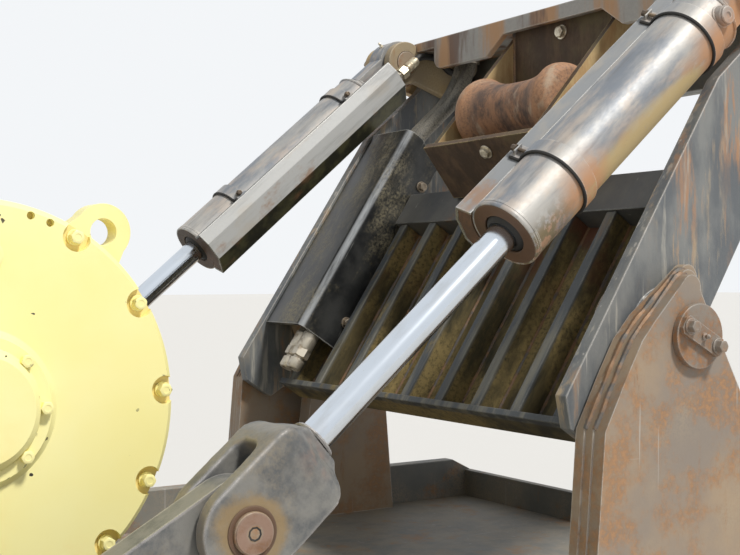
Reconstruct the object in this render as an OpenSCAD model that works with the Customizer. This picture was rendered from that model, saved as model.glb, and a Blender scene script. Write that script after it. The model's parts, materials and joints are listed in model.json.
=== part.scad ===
// Rear winch-and-arch unit of a skidder: a section of rear frame with its winch, the tilting log arch,
// the two lift cylinders and the fairlead roller. +X is to the machine's rear, +Y to its right side.
// The origin is the centre of the rear axle's seat, under the frame.

/* [Frame] */
// Distance between the planes of the two side plates
frame_w = 1170; // [1120:5:1260]
// Thickness of a side plate
side_t = 40; // [34:1:44]
// Height of the side plates' top edge above the axle seat
side_top = 450; // [430:5:460]
// Front end of the side plates
frame_front = -1780; // [-1860:5:-1740]
// Rear end of the side plates
frame_rear = 320; // [290:5:380]
// Height of the belly line ahead of the axle
belly_z = 150; // [130:5:180]
// Height of the deck's top face
deck_z = 350; // [330:5:370]
// Thickness of the deck and belly plates
deck_t = 20; // [16:1:26]

/* [Axle seat] */
// Length of a seat pad along the machine
seat_len = 380; // [360:5:420]
// Width of a seat pad across the machine
seat_w = 200; // [180:5:220]
// Thickness of a seat pad
seat_t = 50; // [40:1:60]
// Bolt spacing along the machine
seat_bolt_x = 280; // [240:5:290]
// Bolt spacing across the machine, from the left pad to the right one
seat_bolt_y = 1000; // [980:5:1010]
// Radius of a bolt hole
seat_hole_r = 14; // [11:0.5:17]

/* [Centre hinge] */
// Distance of the hinge bores ahead of the side plates
hinge_reach = 200; // [180:5:240]
// Radius of the hinge bores
hinge_r = 40; // [32:1:48]
// Thickness of a hinge lug
hinge_t = 60; // [50:1:70]
// Outer radius of a hinge lug
hinge_lug_r = 100; // [90:1:120]

/* [Arch] */
// Distance of the arch pivot ahead of the axle seat
pivot_ahead = 150; // [130:5:170]
// Height of the arch pivot
pivot_z = 850; // [835:5:865]
// Lean of the legs' front edge from upright, in degrees
arch_lean = 33.4; // [32:0.2:35]
// Radius of the pivot pins
pivot_r = 40; // [34:1:46]
// Radius of the leg's hub round the pivot
hub_r = 104; // [96:1:108]
// Thickness of an arch leg
leg_t = 28; // [24:1:30]
// Distance of the leg's front edge ahead of the pivot, square to the leg
leg_front = 140; // [134:1:146]
// Distance of the leg's rear edge behind the pivot, square to the leg
leg_rear = 73; // [68:1:80]
// Length of the leg below the pivot
leg_low = 249; // [240:1:256]
// Height of the top plate's upper face
top_z = 1570; // [1560:5:1590]
// Thickness of the top plate
top_t = 24; // [20:1:28]
// Rear end of the top plate
top_rear = 620; // [580:5:680]
// How far the top plate reaches past the legs' planes
top_over = 145; // [130:5:165]

/* [Lip] */
// Thickness of the top plate's down-turned lip
lip_t = 18; // [14:1:22]
// Height of the lip at its two ends
lip_h = 80; // [70:1:90]
// Height of the lip over the fairlead
lip_mid_h = 35; // [28:1:42]
// Half the length of the lip across the machine
lip_half = 450; // [430:5:460]
// Radius of the lip's lower outer corners
lip_round = 30; // [20:1:40]

/* [Pivot ears] */
// Thickness of the ear's layer against the side plate
ear_a_t = 20; // [16:1:24]
// Thickness of the ear's middle layer
ear_b_t = 18; // [14:1:22]
// Thickness of the ear's outer layer
ear_c_t = 25; // [20:1:30]
// Thickness of the inner ear on the frame
ear_in_t = 45; // [38:1:50]
// Radius of the ear's round top
ear_r = 22; // [18:1:26]
// Height of the ear's top above the pivot
ear_up = 123; // [116:1:130]

/* [Ribbed panel] */
// Distance of the panel's front face behind the pivot, square to the leg
panel_behind = 10; // [4:1:16]
// Thickness of the panel
panel_t = 12; // [8:1:16]
// Distance of the panel's lower edge below the pivot, along the leg
panel_low = 209; // [200:1:216]
// Distance of the panel's upper edge above the pivot, along the leg
panel_high = 250; // [240:2:256]
// Height of a rib off the panel
rib_h = 50; // [40:1:60]
// Thickness of a rib
rib_t = 26; // [16:1:32]
// Number of ribs
rib_count = 9; // [7:1:10]
// Height of the cross member over the panel
cross_h = 90; // [80:1:100]
// Depth of the cross member ahead of the panel's front face
cross_d = 55; // [46:1:60]

/* [Fairlead] */
// Distance of the roller's axis ahead of the pivot, square to the leg
roller_ahead = 110; // [105:1:115]
// Distance of the roller's axis above the pivot, along the leg
roller_up = 502; // [496:1:508]
// Length of the roller
roller_len = 322; // [310:2:330]
// Radius of the roller's flanges
roller_flange_r = 86; // [80:1:88]
// Radius of the roller's waist
roller_waist_r = 62; // [54:1:66]
// Radius of the roller's shaft
roller_shaft_r = 22; // [18:1:26]
// Thickness of the fairlead's plates
box_t = 16; // [12:1:20]
// Slope of the apron under the roller, in degrees below level
apron_slope = 52; // [50:0.5:54]

/* [Hose guard] */
// Distance of the guard's side from the middle of the machine
guard_in = 400; // [380:5:410]
// Thickness of the guard
guard_t = 8; // [6:0.5:10]
// Height of the guard's top above the pivot, along the leg
guard_high = 480; // [470:1:484]
// Depth of the guard's side behind its front face
guard_d = 124; // [116:1:128]

/* [Lift cylinders] */
// Distance of the lower pin ahead of the axle seat
low_pin_ahead = 987; // [975:2:999]
// Height of the lower pin
low_pin_z = 604; // [598:1:612]
// Distance of the upper pin ahead of the pivot, square to the leg
top_pin_ahead = 176; // [172:1:180]
// Distance of the upper pin above the pivot, along the leg
top_pin_up = 681; // [675:1:684]
// Radius of the cylinder pins
pin_r = 30; // [25:1:34]
// Outer radius of the barrel
barrel_r = 63.5; // [60:0.5:65]
// Thickness of the barrel's wall
barrel_wall = 12; // [9:1:15]
// Distance of the barrel's lower end from the lower pin
barrel_low = 640; // [620:5:660]
// Distance of the barrel's upper end ahead of the upper pin
barrel_short = 150; // [140:2:160]
// Radius of the barrel's eye round the upper pin
eye_r = 62; // [56:1:66]
// Width of the barrel's eye
eye_w = 56; // [50:2:60]
// Radius of the rod
rod_r = 25.4; // [22:0.2:30]
// Thickness of a lug between the clevis ears
lug_t = 48; // [42:1:50]
// Radius of a lug's nose round the pin
lug_r = 70; // [62:1:74]
// Thickness of a clevis ear
clevis_ear_t = 28; // [22:1:32]
// Radius of a clevis ear round the pin
clevis_r = 78; // [72:1:84]
// Length of the clevis from the pin to its rod end
clevis_len = 170; // [160:1:185]

/* [Pipe covers] */
// Width of a band clamp along the barrel
band_w = 30; // [24:1:38]
// Thickness of a band clamp
band_t = 5; // [4:0.5:6]
// Distance of the lower band from the barrel's lower end
band_a = 148; // [135:1:160]
// Distance of the upper band from the barrel's lower end
band_b = 551; // [530:1:560]
// Thickness of the pipe cover's sheet
cover_wall = 5; // [3:0.5:7]
// Reach of the pipe cover to the inner side of the barrel's axis
cover_reach = 96; // [94:1:100]
// Angle that each pipe cover is turned about its barrel, in degrees
cover_turn = 8; // [6:0.5:9]
// Radius of the oil pipe
pipe_r = 11; // [9:0.5:12]

/* [Winch] */
// Distance of the drum's axis ahead of the axle seat
winch_ahead = 1278; // [1268:2:1290]
// Height of the drum's axis
winch_z = 760; // [750:1:770]
// Radius of the side covers
case_r = 305; // [298:1:314]
// Distance between the outer faces of the two side covers
winch_w = 700; // [680:2:720]
// Thickness of a side cover
wcover_t = 32; // [28:1:38]
// Thickness of a gear case
case_t = 100; // [90:1:110]
// Radius of the cap's flange
cap_flange_r = 116; // [110:1:124]
// Radius of the cap's raised middle
cap_r = 88; // [82:1:92]
// Height of the cap's flange
cap_flange_h = 12; // [9:1:15]
// Height of the cap's raised middle
cap_h = 30; // [24:1:36]
// Radius of the drum's core
drum_r = 115; // [100:1:130]
// Radius of the drum's flanges
drum_flange_r = 240; // [215:1:255]

/* [Hidden] */

$fn = 64;
fit = 0.3;       // clearance of a pin in its bore, and of a seated piece
run = 6;         // clearance beside a piece that moves
swing_room = 32; // clearance of a lift cylinder from the leg, with room to swing
extra = 1;       // how far a cut runs past a face
sink = 2;        // how far a welded piece reaches into the one that carries it

half = frame_w / 2;
side_in = half - side_t / 2;
side_out = half + side_t / 2;
pivot_at = [-pivot_ahead, pivot_z];
low_pin = [-low_pin_ahead, low_pin_z];

// Points given beside the leg, [behind the pivot square to the leg, above it along the leg], in X and Z
function from_arch(p) = pivot_at + [
    p[0] * cos(arch_lean) + p[1] * sin(arch_lean),
    p[1] * cos(arch_lean) - p[0] * sin(arch_lean)
];

top_pin = from_arch([-top_pin_ahead, top_pin_up]);
pin_gap = norm(top_pin - low_pin);
cyl_tilt = atan2(top_pin[0] - low_pin[0], top_pin[1] - low_pin[1]);
roller_at = from_arch([-roller_ahead, roller_up]);
lip_x = top_pin[0] + 32;
top_under = top_z - top_t;
leg_in = half - leg_t / 2;

// Extrudes an outline in X and Z along Y, from y0 over t
module plate(y0, t) {
    translate([0, y0 + t, 0])
        rotate([90, 0, 0])
            linear_extrude(t)
                children();
}

// A round bar or a bore along Y at [x, z], from y0 over len
module bar_y(at, r, y0, len) {
    translate([at[0], y0, at[1]])
        rotate([-90, 0, 0])
            cylinder(h = len, r = r);
}

// A disc of an outline in X and Z
module disc(at, r) {
    translate(at)
        circle(r);
}

// Children drawn for the right side, or mirrored to the left side
module on_side(s) {
    if (s < 0) {
        mirror([0, 1, 0])
            children();
    } else {
        children();
    }
}

// Children in the cylinder's frame: Z runs from the lower pin to the upper pin, Y across the machine
module at_cylinder() {
    translate([low_pin[0], half, low_pin[1]])
        rotate([0, cyl_tilt, 0])
            children();
}

// Children in the arch's frame: Z runs up the leg from the pivot, X is behind the pivot
module at_arch() {
    translate([pivot_at[0], 0, pivot_at[1]])
        rotate([0, arch_lean, 0])
            children();
}

module box(x0, x1, y0, y1, z0, z1) {
    translate([x0, y0, z0])
        cube([x1 - x0, y1 - y0, z1 - z0]);
}

// Corner of a sheet's face beside point i of its path, half a thickness t to one side (s) of it
function beside(path, i, t, s) =
    let (
        last = len(path) - 1,
        before = path[max(i, 1)] - path[max(i, 1) - 1],
        after = path[min(i, last - 1) + 1] - path[min(i, last - 1)],
        n1 = [-before[1], before[0]] / norm(before),
        n2 = [-after[1], after[0]] / norm(after)
    )
    path[i] + s * t / 2 * (n1 + n2) / (1 + n1 * n2);

// A sheet's section along a path of points in a plane
module folded_sheet(path, t) {
    last = len(path) - 1;
    polygon(concat(
        [for (i = [0:last]) beside(path, i, t, 1)],
        [for (i = [last:-1:0]) beside(path, i, t, -1)]
    ));
}

// Frame

seat_half = seat_len / 2;
haunch = 110;        // run of the side plate's lower edge up to the belly line
nose_drop = 60;      // fall of the top edge at the front end
nose_run = 160;      // run of the top edge's fall at the front end
tail_cut = [60, 30]; // chamfer of the top edge at the rear end
nose_t = 40;
hand_hole_r = 60;
tow_reach = 70;      // reach of the drawbar's two plates behind the frame
tow_half = 180;
tow_t = 40;
tow_gap = 90;
tow_pin_r = 25;

module frame_side() {
    color("dimgray")
        plate(side_in, side_t)
            polygon([
                [frame_front, belly_z],
                [-seat_half - haunch, belly_z],
                [-seat_half, seat_t],
                [seat_half, seat_t],
                [frame_rear, belly_z],
                [frame_rear, side_top - tail_cut[1]],
                [frame_rear - tail_cut[0], side_top],
                [frame_front + nose_run, side_top],
                [frame_front, side_top - nose_drop]
            ]);
}

bulkheads = [
    frame_front + 30,
    (frame_front - seat_half - haunch) / 2,
    -seat_half - haunch - deck_t,
    frame_rear - 2 * deck_t - 30
];

module frame_deck() {
    color("dimgray")
        box(frame_front, frame_rear - deck_t, -side_in, side_in, deck_z - deck_t, deck_z);
}

module frame_belly() {
    color("dimgray")
        box(frame_front, -seat_half - haunch, -side_in, side_in, belly_z, belly_z + deck_t);
}

// Upright plates between belly and deck, each with a hand hole for hoses and the drive shaft
module frame_bulkheads() {
    color("dimgray")
        for (x = bulkheads) {
            difference() {
                box(x, x + deck_t, -side_in, side_in, belly_z + deck_t, deck_z - deck_t);
                translate([x - extra, 0, (belly_z + deck_z) / 2])
                    rotate([0, 90, 0])
                        cylinder(h = deck_t + 2 * extra, r = hand_hole_r);
            }
        }
}

hinge_x = frame_front - hinge_reach;
hinge_low = belly_z + 10;
hinge_high = side_top - nose_drop - hinge_t - 10;

// Front plate with two lugs for the machine's centre hinge
module frame_nose() {
    color("dimgray")
        difference() {
            union() {
                box(frame_front - nose_t, frame_front, -side_out, side_out, belly_z, side_top - nose_drop);
                for (z = [hinge_low, hinge_high]) {
                    translate([0, 0, z])
                        linear_extrude(hinge_t)
                            hinge_outline();
                }
            }
            translate([hinge_x, 0, belly_z - extra])
                cylinder(h = side_top, r = hinge_r);
        }
}

module hinge_outline() {
    root_x = frame_front - nose_t + sink;
    translate([hinge_x, 0])
        circle(hinge_lug_r);
    polygon([
        [hinge_x, hinge_lug_r - extra],
        [hinge_x, extra - hinge_lug_r],
        [root_x, -hinge_lug_r * 2.4],
        [root_x, hinge_lug_r * 2.4]
    ]);
}

// Rear plate with two shelves for a drawbar's pin
module frame_rear_plate() {
    shelf_z = [belly_z + 20, belly_z + 20 + tow_t + tow_gap];
    color("dimgray")
        difference() {
            union() {
                box(frame_rear - deck_t, frame_rear, -side_in, side_in, belly_z, side_top - tail_cut[1]);
                for (z = shelf_z) {
                    box(frame_rear - sink, frame_rear + tow_reach, -tow_half, tow_half, z, z + tow_t);
                }
            }
            translate([frame_rear + 40, 0, belly_z])
                cylinder(h = 2 * tow_t + tow_gap + 50, r = tow_pin_r);
        }
}

module axle_seats() {
    seat_y = seat_bolt_y / 2 - 60;
    color("dimgray")
        for (s = [-1, 1]) {
            on_side(s)
                difference() {
                    box(-seat_half, seat_half, seat_y, seat_y + seat_w, 0, seat_t);
                    for (x = [-1, 1]) {
                        translate([x * seat_bolt_x / 2, seat_bolt_y / 2, -extra])
                            cylinder(h = seat_t + 2 * extra, r = seat_hole_r);
                    }
                }
        }
}

lug_run = [420, 60]; // reach of a lug's foot ahead of the pin and behind it

// Lug for a lift cylinder: a plate on the side plate's top edge, its nose round the lower pin
module lug() {
    color("slategray")
        difference() {
            plate(half - lug_t / 2, lug_t)
                union() {
                    disc(low_pin, lug_r);
                    polygon([
                        [low_pin[0] - lug_run[0], side_top],
                        [low_pin[0] + lug_run[1], side_top],
                        [low_pin[0] + lug_r - 4, low_pin[1] - 24],
                        [low_pin[0] - 34, low_pin[1] + lug_r - 9]
                    ]);
                }
            bar_y(low_pin, pin_r, half - lug_t, 2 * lug_t);
        }
    color("gray")
        bar_y(low_pin, pin_r, half - lug_t / 2, lug_t);
}

ear_front = [[-93, 36], [-131, -4], [-165, -60]]; // the ear's front edge, from the pivot
ear_foot = [-215, -150];    // lower corner of the ear's front edge, from the pivot
ear_tail = [150, -150];     // lower corner of the ear's rear edge, from the pivot
ear_step = [19, 9];         // how far each outer layer's round top is set to the front and down
ear_in_r = 100;             // radius of the inner ear round the pivot

// The ear's outline, layer 0 beside the side plate, each outer layer set in
module ear_outline(foot_z, layer) {
    top = pivot_at + [ear_r + 8, ear_up - ear_r] - layer * ear_step;
    step = 3 * layer;
    disc(top, ear_r);
    polygon([
        top + [-ear_r * 0.6, ear_r * 0.78],
        pivot_at + ear_front[0] + [0, -step],
        pivot_at + ear_front[1] + [step, 0],
        pivot_at + ear_front[2] + [step, 0],
        pivot_at + ear_foot + [step, 0],
        [pivot_at[0] + ear_foot[0] - 30 + step, foot_z],
        [pivot_at[0] + ear_tail[0] + 30 - step, foot_z],
        pivot_at + ear_tail - [step, 0],
        top + [ear_r * 0.96, -ear_r * 0.2]
    ]);
}

module inner_ear_outline() {
    disc(pivot_at, ear_in_r);
    polygon([
        pivot_at + [-97, -20],
        pivot_at + [-60, -150],
        [pivot_at[0] - 110, deck_z],
        [pivot_at[0] + 180, deck_z],
        pivot_at + [150, -150],
        pivot_at + [97, -20]
    ]);
}

// Two ears beside the foot of an arch leg, the outer one built up of three layers
module pivot_ears() {
    foot = side_top - 120;
    color("saddlebrown")
        difference() {
            union() {
                plate(side_out, ear_a_t)
                    ear_outline(foot, 0);
                plate(side_out + ear_a_t - extra, ear_b_t + extra)
                    ear_outline(foot + 10, 1);
                plate(side_out + ear_a_t + ear_b_t - extra, ear_c_t + extra)
                    ear_outline(foot + 30, 2);
                plate(side_in - ear_in_t, ear_in_t)
                    inner_ear_outline();
            }
            bar_y(pivot_at, pivot_r + fit, side_in - 2 * ear_in_t, 6 * ear_in_t + side_t);
        }
}

ears_w = ear_a_t + ear_b_t + ear_c_t;

module pivot_pins() {
    color("gray")
        for (s = [-1, 1]) {
            on_side(s) {
                bar_y(pivot_at, pivot_r, side_in - ear_in_t, ear_in_t + side_t + ears_w + 10);
                bar_y(pivot_at, pivot_r + 16, side_out + ears_w + fit, 12);
            }
        }
}

// Winch

winch_at = [-winch_ahead, winch_z];
case_y = winch_w / 2 - wcover_t;
case_in = case_y - case_t;
foot_half = 220;
base_half = 300;
base_t = 40;
shell_r = case_r - 10;
lift_at = 330;       // distance of the lifting ear's hole from the drum's axis
lift_turn = 52;      // its angle above the horizontal, to the rear
lift_r = 44;
lift_hole = 21;
lift_t = 38;
lift_root = 70;
bolt_circle = case_r - 13;
// Angles of the cover bolts above the horizontal, to the rear: closer together below than above
bolt_turns = [3, 31, 59, 90, 121, 149, 177, 205, 227, 249, 270, 291, 313, 335];
pocket_r = 22;
pocket_d = 14;
plug_at = [18, 222]; // filler plug on a side cover, from the drum's axis
plug_r = 20;
bare_holes = [68, 74];
bare_hole_r = 6;
shaft_r = 46;

module winch_base() {
    color("khaki") {
        box(winch_at[0] - base_half, winch_at[0] + base_half, -case_y, case_y, deck_z, deck_z + base_t);
        for (s = [-1, 1]) {
            on_side(s)
                box(winch_at[0] - foot_half, winch_at[0] + foot_half, case_in, case_y,
                    deck_z + base_t - sink, deck_z + 2 * base_t);
        }
        box(winch_at[0] - foot_half, winch_at[0] - foot_half + base_t, -case_in - sink, case_in + sink,
            deck_z + base_t - sink, deck_z + 2 * base_t);
    }
}

module case_outline() {
    disc(winch_at, shell_r);
    polygon([
        [winch_at[0] - foot_half, deck_z + 2 * base_t],
        [winch_at[0] + foot_half, deck_z + 2 * base_t],
        [winch_at[0] + foot_half, winch_at[1] - 60],
        [winch_at[0] - foot_half, winch_at[1] - 60]
    ]);
}

module lift_ear_outline() {
    root = shell_r - 60;
    translate(winch_at)
        rotate(lift_turn)
            difference() {
                union() {
                    translate([lift_at, 0])
                        circle(lift_r);
                    polygon([
                        [root, -lift_root],
                        [lift_at, -lift_r + extra],
                        [lift_at, lift_r - extra],
                        [root, lift_root]
                    ]);
                }
                translate([lift_at, 0])
                    circle(lift_hole);
            }
}

module winch_case() {
    color("khaki")
        difference() {
            union() {
                plate(case_in, case_t)
                    case_outline();
                plate(case_y - lift_t, lift_t)
                    lift_ear_outline();
            }
            bar_y(winch_at, shaft_r, case_in - extra, 30 + extra);
        }
}

// Turns children about the axis along Y at [x, z]
module rotate_about(at, a) {
    translate([at[0], 0, at[1]])
        rotate([0, -a, 0])
            translate([-at[0], 0, -at[1]])
                children();
}

// Side cover with its cap, as one turned profile, and a pocket open to the rim at each bolt
module winch_cover() {
    flange_top = wcover_t + cap_flange_h;
    color("khaki")
        difference() {
            union() {
                translate([winch_at[0], case_y, winch_at[1]])
                    rotate([-90, 0, 0])
                        rotate_extrude($fn = 96)
                            polygon([
                                [0, 0],
                                [case_r, 0],
                                [case_r, wcover_t - 8],
                                [case_r - 8, wcover_t],
                                [cap_flange_r + 3, wcover_t],
                                [cap_flange_r - 3, wcover_t + 4],
                                [cap_flange_r - 8, flange_top],
                                [cap_r + 5, flange_top],
                                [cap_r, flange_top + 5],
                                [cap_r, wcover_t + cap_h - 7],
                                [cap_r - 9, wcover_t + cap_h],
                                [0, wcover_t + cap_h]
                            ]);
                bar_y(winch_at + plug_at, plug_r, case_y + wcover_t - extra, 10 + extra);
            }
            for (a = bolt_turns) {
                rotate_about(winch_at, a)
                    bar_y([winch_at[0] + bolt_circle, winch_at[1]], pocket_r, case_y + wcover_t - pocket_d,
                        2 * pocket_d);
            }
            for (a = bare_holes) {
                rotate_about(winch_at, a)
                    bar_y([winch_at[0] + bolt_circle, winch_at[1]], bare_hole_r, case_y + wcover_t - 16, 20);
            }
        }
}

motor_at = winch_at + [-90, -60];

// Hydraulic motor on the right cover, standing on its flange beside the cap
module winch_motor() {
    face = winch_w / 2 + cap_h;
    color("dimgray") {
        bar_y(motor_at, 110, face + fit, 24);
        bar_y(motor_at, 80, face + 24 - extra, 131);
        for (a = [-50, 50]) {
            translate([motor_at[0] + 60 * sin(a), face + 110, motor_at[1]])
                rotate([0, a, 0])
                    cylinder(h = 100, r = 22);
        }
    }
}

module winch_drum() {
    flange_t = 22;
    drum_half = case_in - 8;
    color("slategray") {
        bar_y(winch_at, drum_r, -drum_half, 2 * drum_half);
        bar_y(winch_at, drum_flange_r, -drum_half, flange_t);
        bar_y(winch_at, drum_flange_r, drum_half - flange_t, flange_t);
        bar_y(winch_at, shaft_r - fit, -case_in - 20, 2 * case_in + 40);
    }
}

// Arch

leg_back_up = 330;   // where the leg's rear edge turns back to the top plate, above the pivot
leg_tail = 150;      // depth of the leg's rear end under the top plate
room_len = 330;      // length of the leg's cut beside the cylinder
room_r = barrel_r + swing_room;

// Room for a lift cylinder beside its upper pin, as an outline in X and Z
module cylinder_room() {
    disc(top_pin, room_r);
    translate(top_pin)
        rotate(-cyl_tilt)
            translate([extra - room_r, -room_len])
                square([2 * room_r - 2 * extra, room_len]);
}

module leg_outline() {
    front_top = from_arch([-leg_front, top_pin_up + 20]);
    disc(pivot_at, hub_r);
    polygon([
        from_arch([-leg_front, -leg_low + 40]),
        front_top,
        [front_top[0] + 10, top_under],
        [top_rear - 20, top_under],
        [top_rear - 20, top_under - leg_tail],
        from_arch([leg_rear, leg_back_up]),
        from_arch([leg_rear, 0]),
        from_arch([leg_rear - 20, -100]),
        from_arch([-20, -leg_low]),
        from_arch([-leg_front + 40, -leg_low])
    ]);
}

module arch_leg() {
    color("darkslategray")
        difference() {
            union() {
                plate(leg_in, leg_t)
                    difference() {
                        leg_outline();
                        cylinder_room();
                    }
                bar_y(pivot_at, hub_r - 20, side_in + extra, side_t - 2 * extra);
            }
            bar_y(pivot_at, pivot_r + fit, side_in - side_t, 3 * side_t);
        }
}

panel_half = side_in - ear_in_t - run - 4;
rib_pitch = (2 * panel_half - 60) / (rib_count - 1);
ledge_t = 12;
ledge_over = 12;     // how far the ledge reaches past the ribs

module arch_panel() {
    face = panel_behind;
    color("darkolivegreen")
        at_arch() {
            box(face, face + panel_t, -panel_half, panel_half, -panel_low, panel_high);
            for (i = [0:rib_count - 1]) {
                y = (i - (rib_count - 1) / 2) * rib_pitch;
                box(face - rib_h, face + sink, y - rib_t / 2, y + rib_t / 2, -panel_low, panel_high);
            }
            box(face - rib_h - ledge_over, face + panel_t, -panel_half, panel_half,
                -panel_low - ledge_t, -panel_low + sink);
        }
}

// Channel across the arch over the panel. Beside the hose guard it is cut back behind the guard's edge
module arch_cross_member() {
    front = panel_behind - cross_d;
    sheet = 10;
    top = panel_high + cross_h;
    color("dimgray")
        at_arch() {
            box(front, front + sheet, -leg_in, guard_in - run, panel_high, top);
            box(front, panel_behind, -leg_in, guard_in - run, panel_high, panel_high + sheet);
            box(front, panel_behind, -leg_in, guard_in - run, top - sheet, top);
            box(panel_behind - sink, panel_behind + panel_t, -leg_in, leg_in, panel_high, top);
        }
}

arch_ear_t = 26;
arch_ear_r = 56;     // radius of an ear's front round the upper pin
ear_y_in = half - eye_w / 2 - run - arch_ear_t;
ear_y_out = half + eye_w / 2 + run;
notch_len = 60;      // length of the notch in the top plate over a cylinder's eye
top_half = half + top_over;

// The lip hangs deepest at its two ends, and steps up over the fairlead
module lip_outline() {
    difference() {
        polygon([
            [-lip_half, top_z],
            [-lip_half, top_z - lip_h],
            [-throat_half - 65, top_z - lip_h],
            [-throat_half, top_z - lip_mid_h],
            [throat_half, top_z - lip_mid_h],
            [throat_half + 65, top_z - lip_h],
            [lip_half, top_z - lip_h],
            [lip_half, top_z]
        ]);
        for (s = [-1, 1]) {
            translate([s * (lip_half - lip_round), top_z - lip_h + lip_round])
                difference() {
                    translate([s > 0 ? 0 : -lip_round - extra, -lip_round - extra])
                        square(lip_round + extra);
                    circle(lip_round);
                }
        }
    }
}

module arch_top() {
    color("dimgray")
        difference() {
            union() {
                box(lip_x, top_rear, -top_half, top_half, top_under, top_z);
                translate([lip_x, 0, 0])
                    rotate([90, 0, 90])
                        linear_extrude(lip_t)
                            lip_outline();
            }
            for (s = [-1, 1]) {
                on_side(s)
                    box(lip_x - extra, lip_x + notch_len, ear_y_in + arch_ear_t, ear_y_out,
                        top_under - extra, top_z + extra);
            }
        }
}

// The ear's front rounds the pin and its top edge meets the top plate's front edge and underside
module arch_ear_outline() {
    difference() {
        union() {
            disc(top_pin, arch_ear_r);
            polygon([
                top_pin + [-50, -24],
                [top_pin[0] - 40, top_under],
                [lip_x + 210, top_under],
                [lip_x + 150, top_pin[1] - 100],
                top_pin + [28, -48]
            ]);
        }
        translate([lip_x - fit, top_under])
            square([300, 100]);
    }
}

// Two ears under the top plate that hold a lift cylinder's upper pin
module arch_ears() {
    color("dimgray")
        difference() {
            union() {
                plate(ear_y_in, arch_ear_t)
                    arch_ear_outline();
                plate(ear_y_out, arch_ear_t)
                    arch_ear_outline();
            }
            bar_y(top_pin, pin_r + fit, ear_y_in - 10, ear_y_out - ear_y_in + 2 * arch_ear_t);
        }
}

back_t = 28;
back_x = lip_x + 220;

module arch_back() {
    color("darkslategray") {
        box(top_rear - 60, top_rear - 60 + back_t, -leg_in, leg_in, top_under - 140, top_under);
        box(back_x, back_x + back_t, -leg_in, leg_in, top_under - 180, top_under);
    }
}

throat_half = roller_len / 2 + run;
apron_front = from_arch([-leg_front - 36, 367]);
apron_dir = [cos(apron_slope), -sin(apron_slope)];
apron_up = [sin(apron_slope), cos(apron_slope)];
cross_top = from_arch([panel_behind - cross_d, panel_high + cross_h]);
throat_x = lip_x + 36;  // front face of the fairlead's upright back plate
box_front_top = from_arch([-leg_front - 36, 367]) + [262, 292];

// Side plate of the fairlead: its front edge runs from the apron up to the top plate
module fairlead_side_outline() {
    polygon([
        apron_front + 3 * apron_dir - box_t / 2 * apron_up,
        apron_front + 3 * apron_dir,
        box_front_top,
        [box_front_top[0] + 70, top_under - fit],
        from_arch([60, panel_high + cross_h + 160]),
        from_arch([panel_behind + panel_t, panel_high + cross_h]),
        cross_top,
        apron_front + 125 * apron_dir - [6, 8]
    ]);
}

module fairlead_box() {
    color("saddlebrown")
        difference() {
            union() {
                for (s = [-1, 1]) {
                    on_side(s)
                        plate(throat_half, box_t)
                            fairlead_side_outline();
                }
                // apron under the roller, proud of the side plates
                translate([apron_front[0], 0, apron_front[1]])
                    rotate([0, apron_slope, 0])
                        box(-8, 136, -throat_half - box_t - sink, throat_half + box_t + sink, -box_t, 0);
                box(throat_x, throat_x + 12, -throat_half - sink, throat_half + sink,
                    roller_at[1] - 60, top_under - fit);
            }
            bar_y(roller_at, roller_shaft_r + fit, -throat_half - 60, 2 * throat_half + 120);
        }
}

guard_low = -100;
guard_front = leg_front - run;   // the guard's front face, ahead of the pivot
guard_bend = 22;                 // radius of the bend between its front and its side

// The guard's section across the leg: a front face from the leg, a round bend and a side face
module guard_section() {
    difference() {
        union() {
            translate([-guard_front, guard_in + guard_bend])
                square([guard_t, leg_in - guard_in - guard_bend]);
            translate([-guard_front + guard_bend, guard_in])
                square([guard_d - guard_bend, guard_t]);
            intersection() {
                translate([-guard_front + guard_bend, guard_in + guard_bend])
                    circle(guard_bend);
                translate([-guard_front, guard_in])
                    square(guard_bend + extra);
            }
        }
        translate([-guard_front + guard_bend, guard_in + guard_bend])
            circle(guard_bend - guard_t);
    }
}

module hose_guard() {
    cut = [70, 34];     // the slanted corner at the top of the side face
    color("black")
        at_arch()
            difference() {
                translate([0, 0, guard_low])
                    linear_extrude(guard_high - guard_low)
                        guard_section();
                translate([-guard_front + guard_d, guard_in - extra, guard_high])
                    rotate([0, atan2(cut[1], cut[0]), 0])
                        box(-2 * cut[0], cut[0], 0, 2 * guard_t, -cut[1], cut[0]);
            }
}

// Hose routes in the arch's frame, up behind the guard to the top plate, and a tube of eight sides on each
hose_r = 17;
hose_turn = 8;
hose_beside = guard_in + guard_t + fit + hose_r; // middle of the hose that lies on the guard's side
hose_top = top_under - fit;
hose_end = [-100, (hose_top - pivot_z + 100 * -sin(arch_lean)) / cos(arch_lean)];
hose_route = [
    [-80, 0, -150], [-80, 0, 0], [-84, 0, 150], [-88, 0, 300], [-90, 0, 430], [-86, 0, 492],
    [-74, -12, 560], [-64, -22, 620], [-66, -25, 685],
    [hose_end[0] + 36 * sin(arch_lean), -27, hose_end[1] - 36 * cos(arch_lean)],
    [hose_end[0], -27, hose_end[1]]
];
hose_routes = [
    for (side = [0, 2 * hose_r + fit])
        [for (p = hose_route) p + [0, hose_beside + side, 0]]
];

function unit(v) = v / norm(v);
function run_at(route, i) = unit(route[min(i + 1, len(route) - 1)] - route[max(i - 1, 0)]);
function ring(route, i) = [
    for (k = [0:hose_turn - 1])
        let (
            d = run_at(route, i),
            u = unit(cross(d, [1, 0, 0])),
            v = cross(d, u),
            a = k * 360 / hose_turn
        )
        route[i] + hose_r * (cos(a) * u + sin(a) * v)
];

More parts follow.
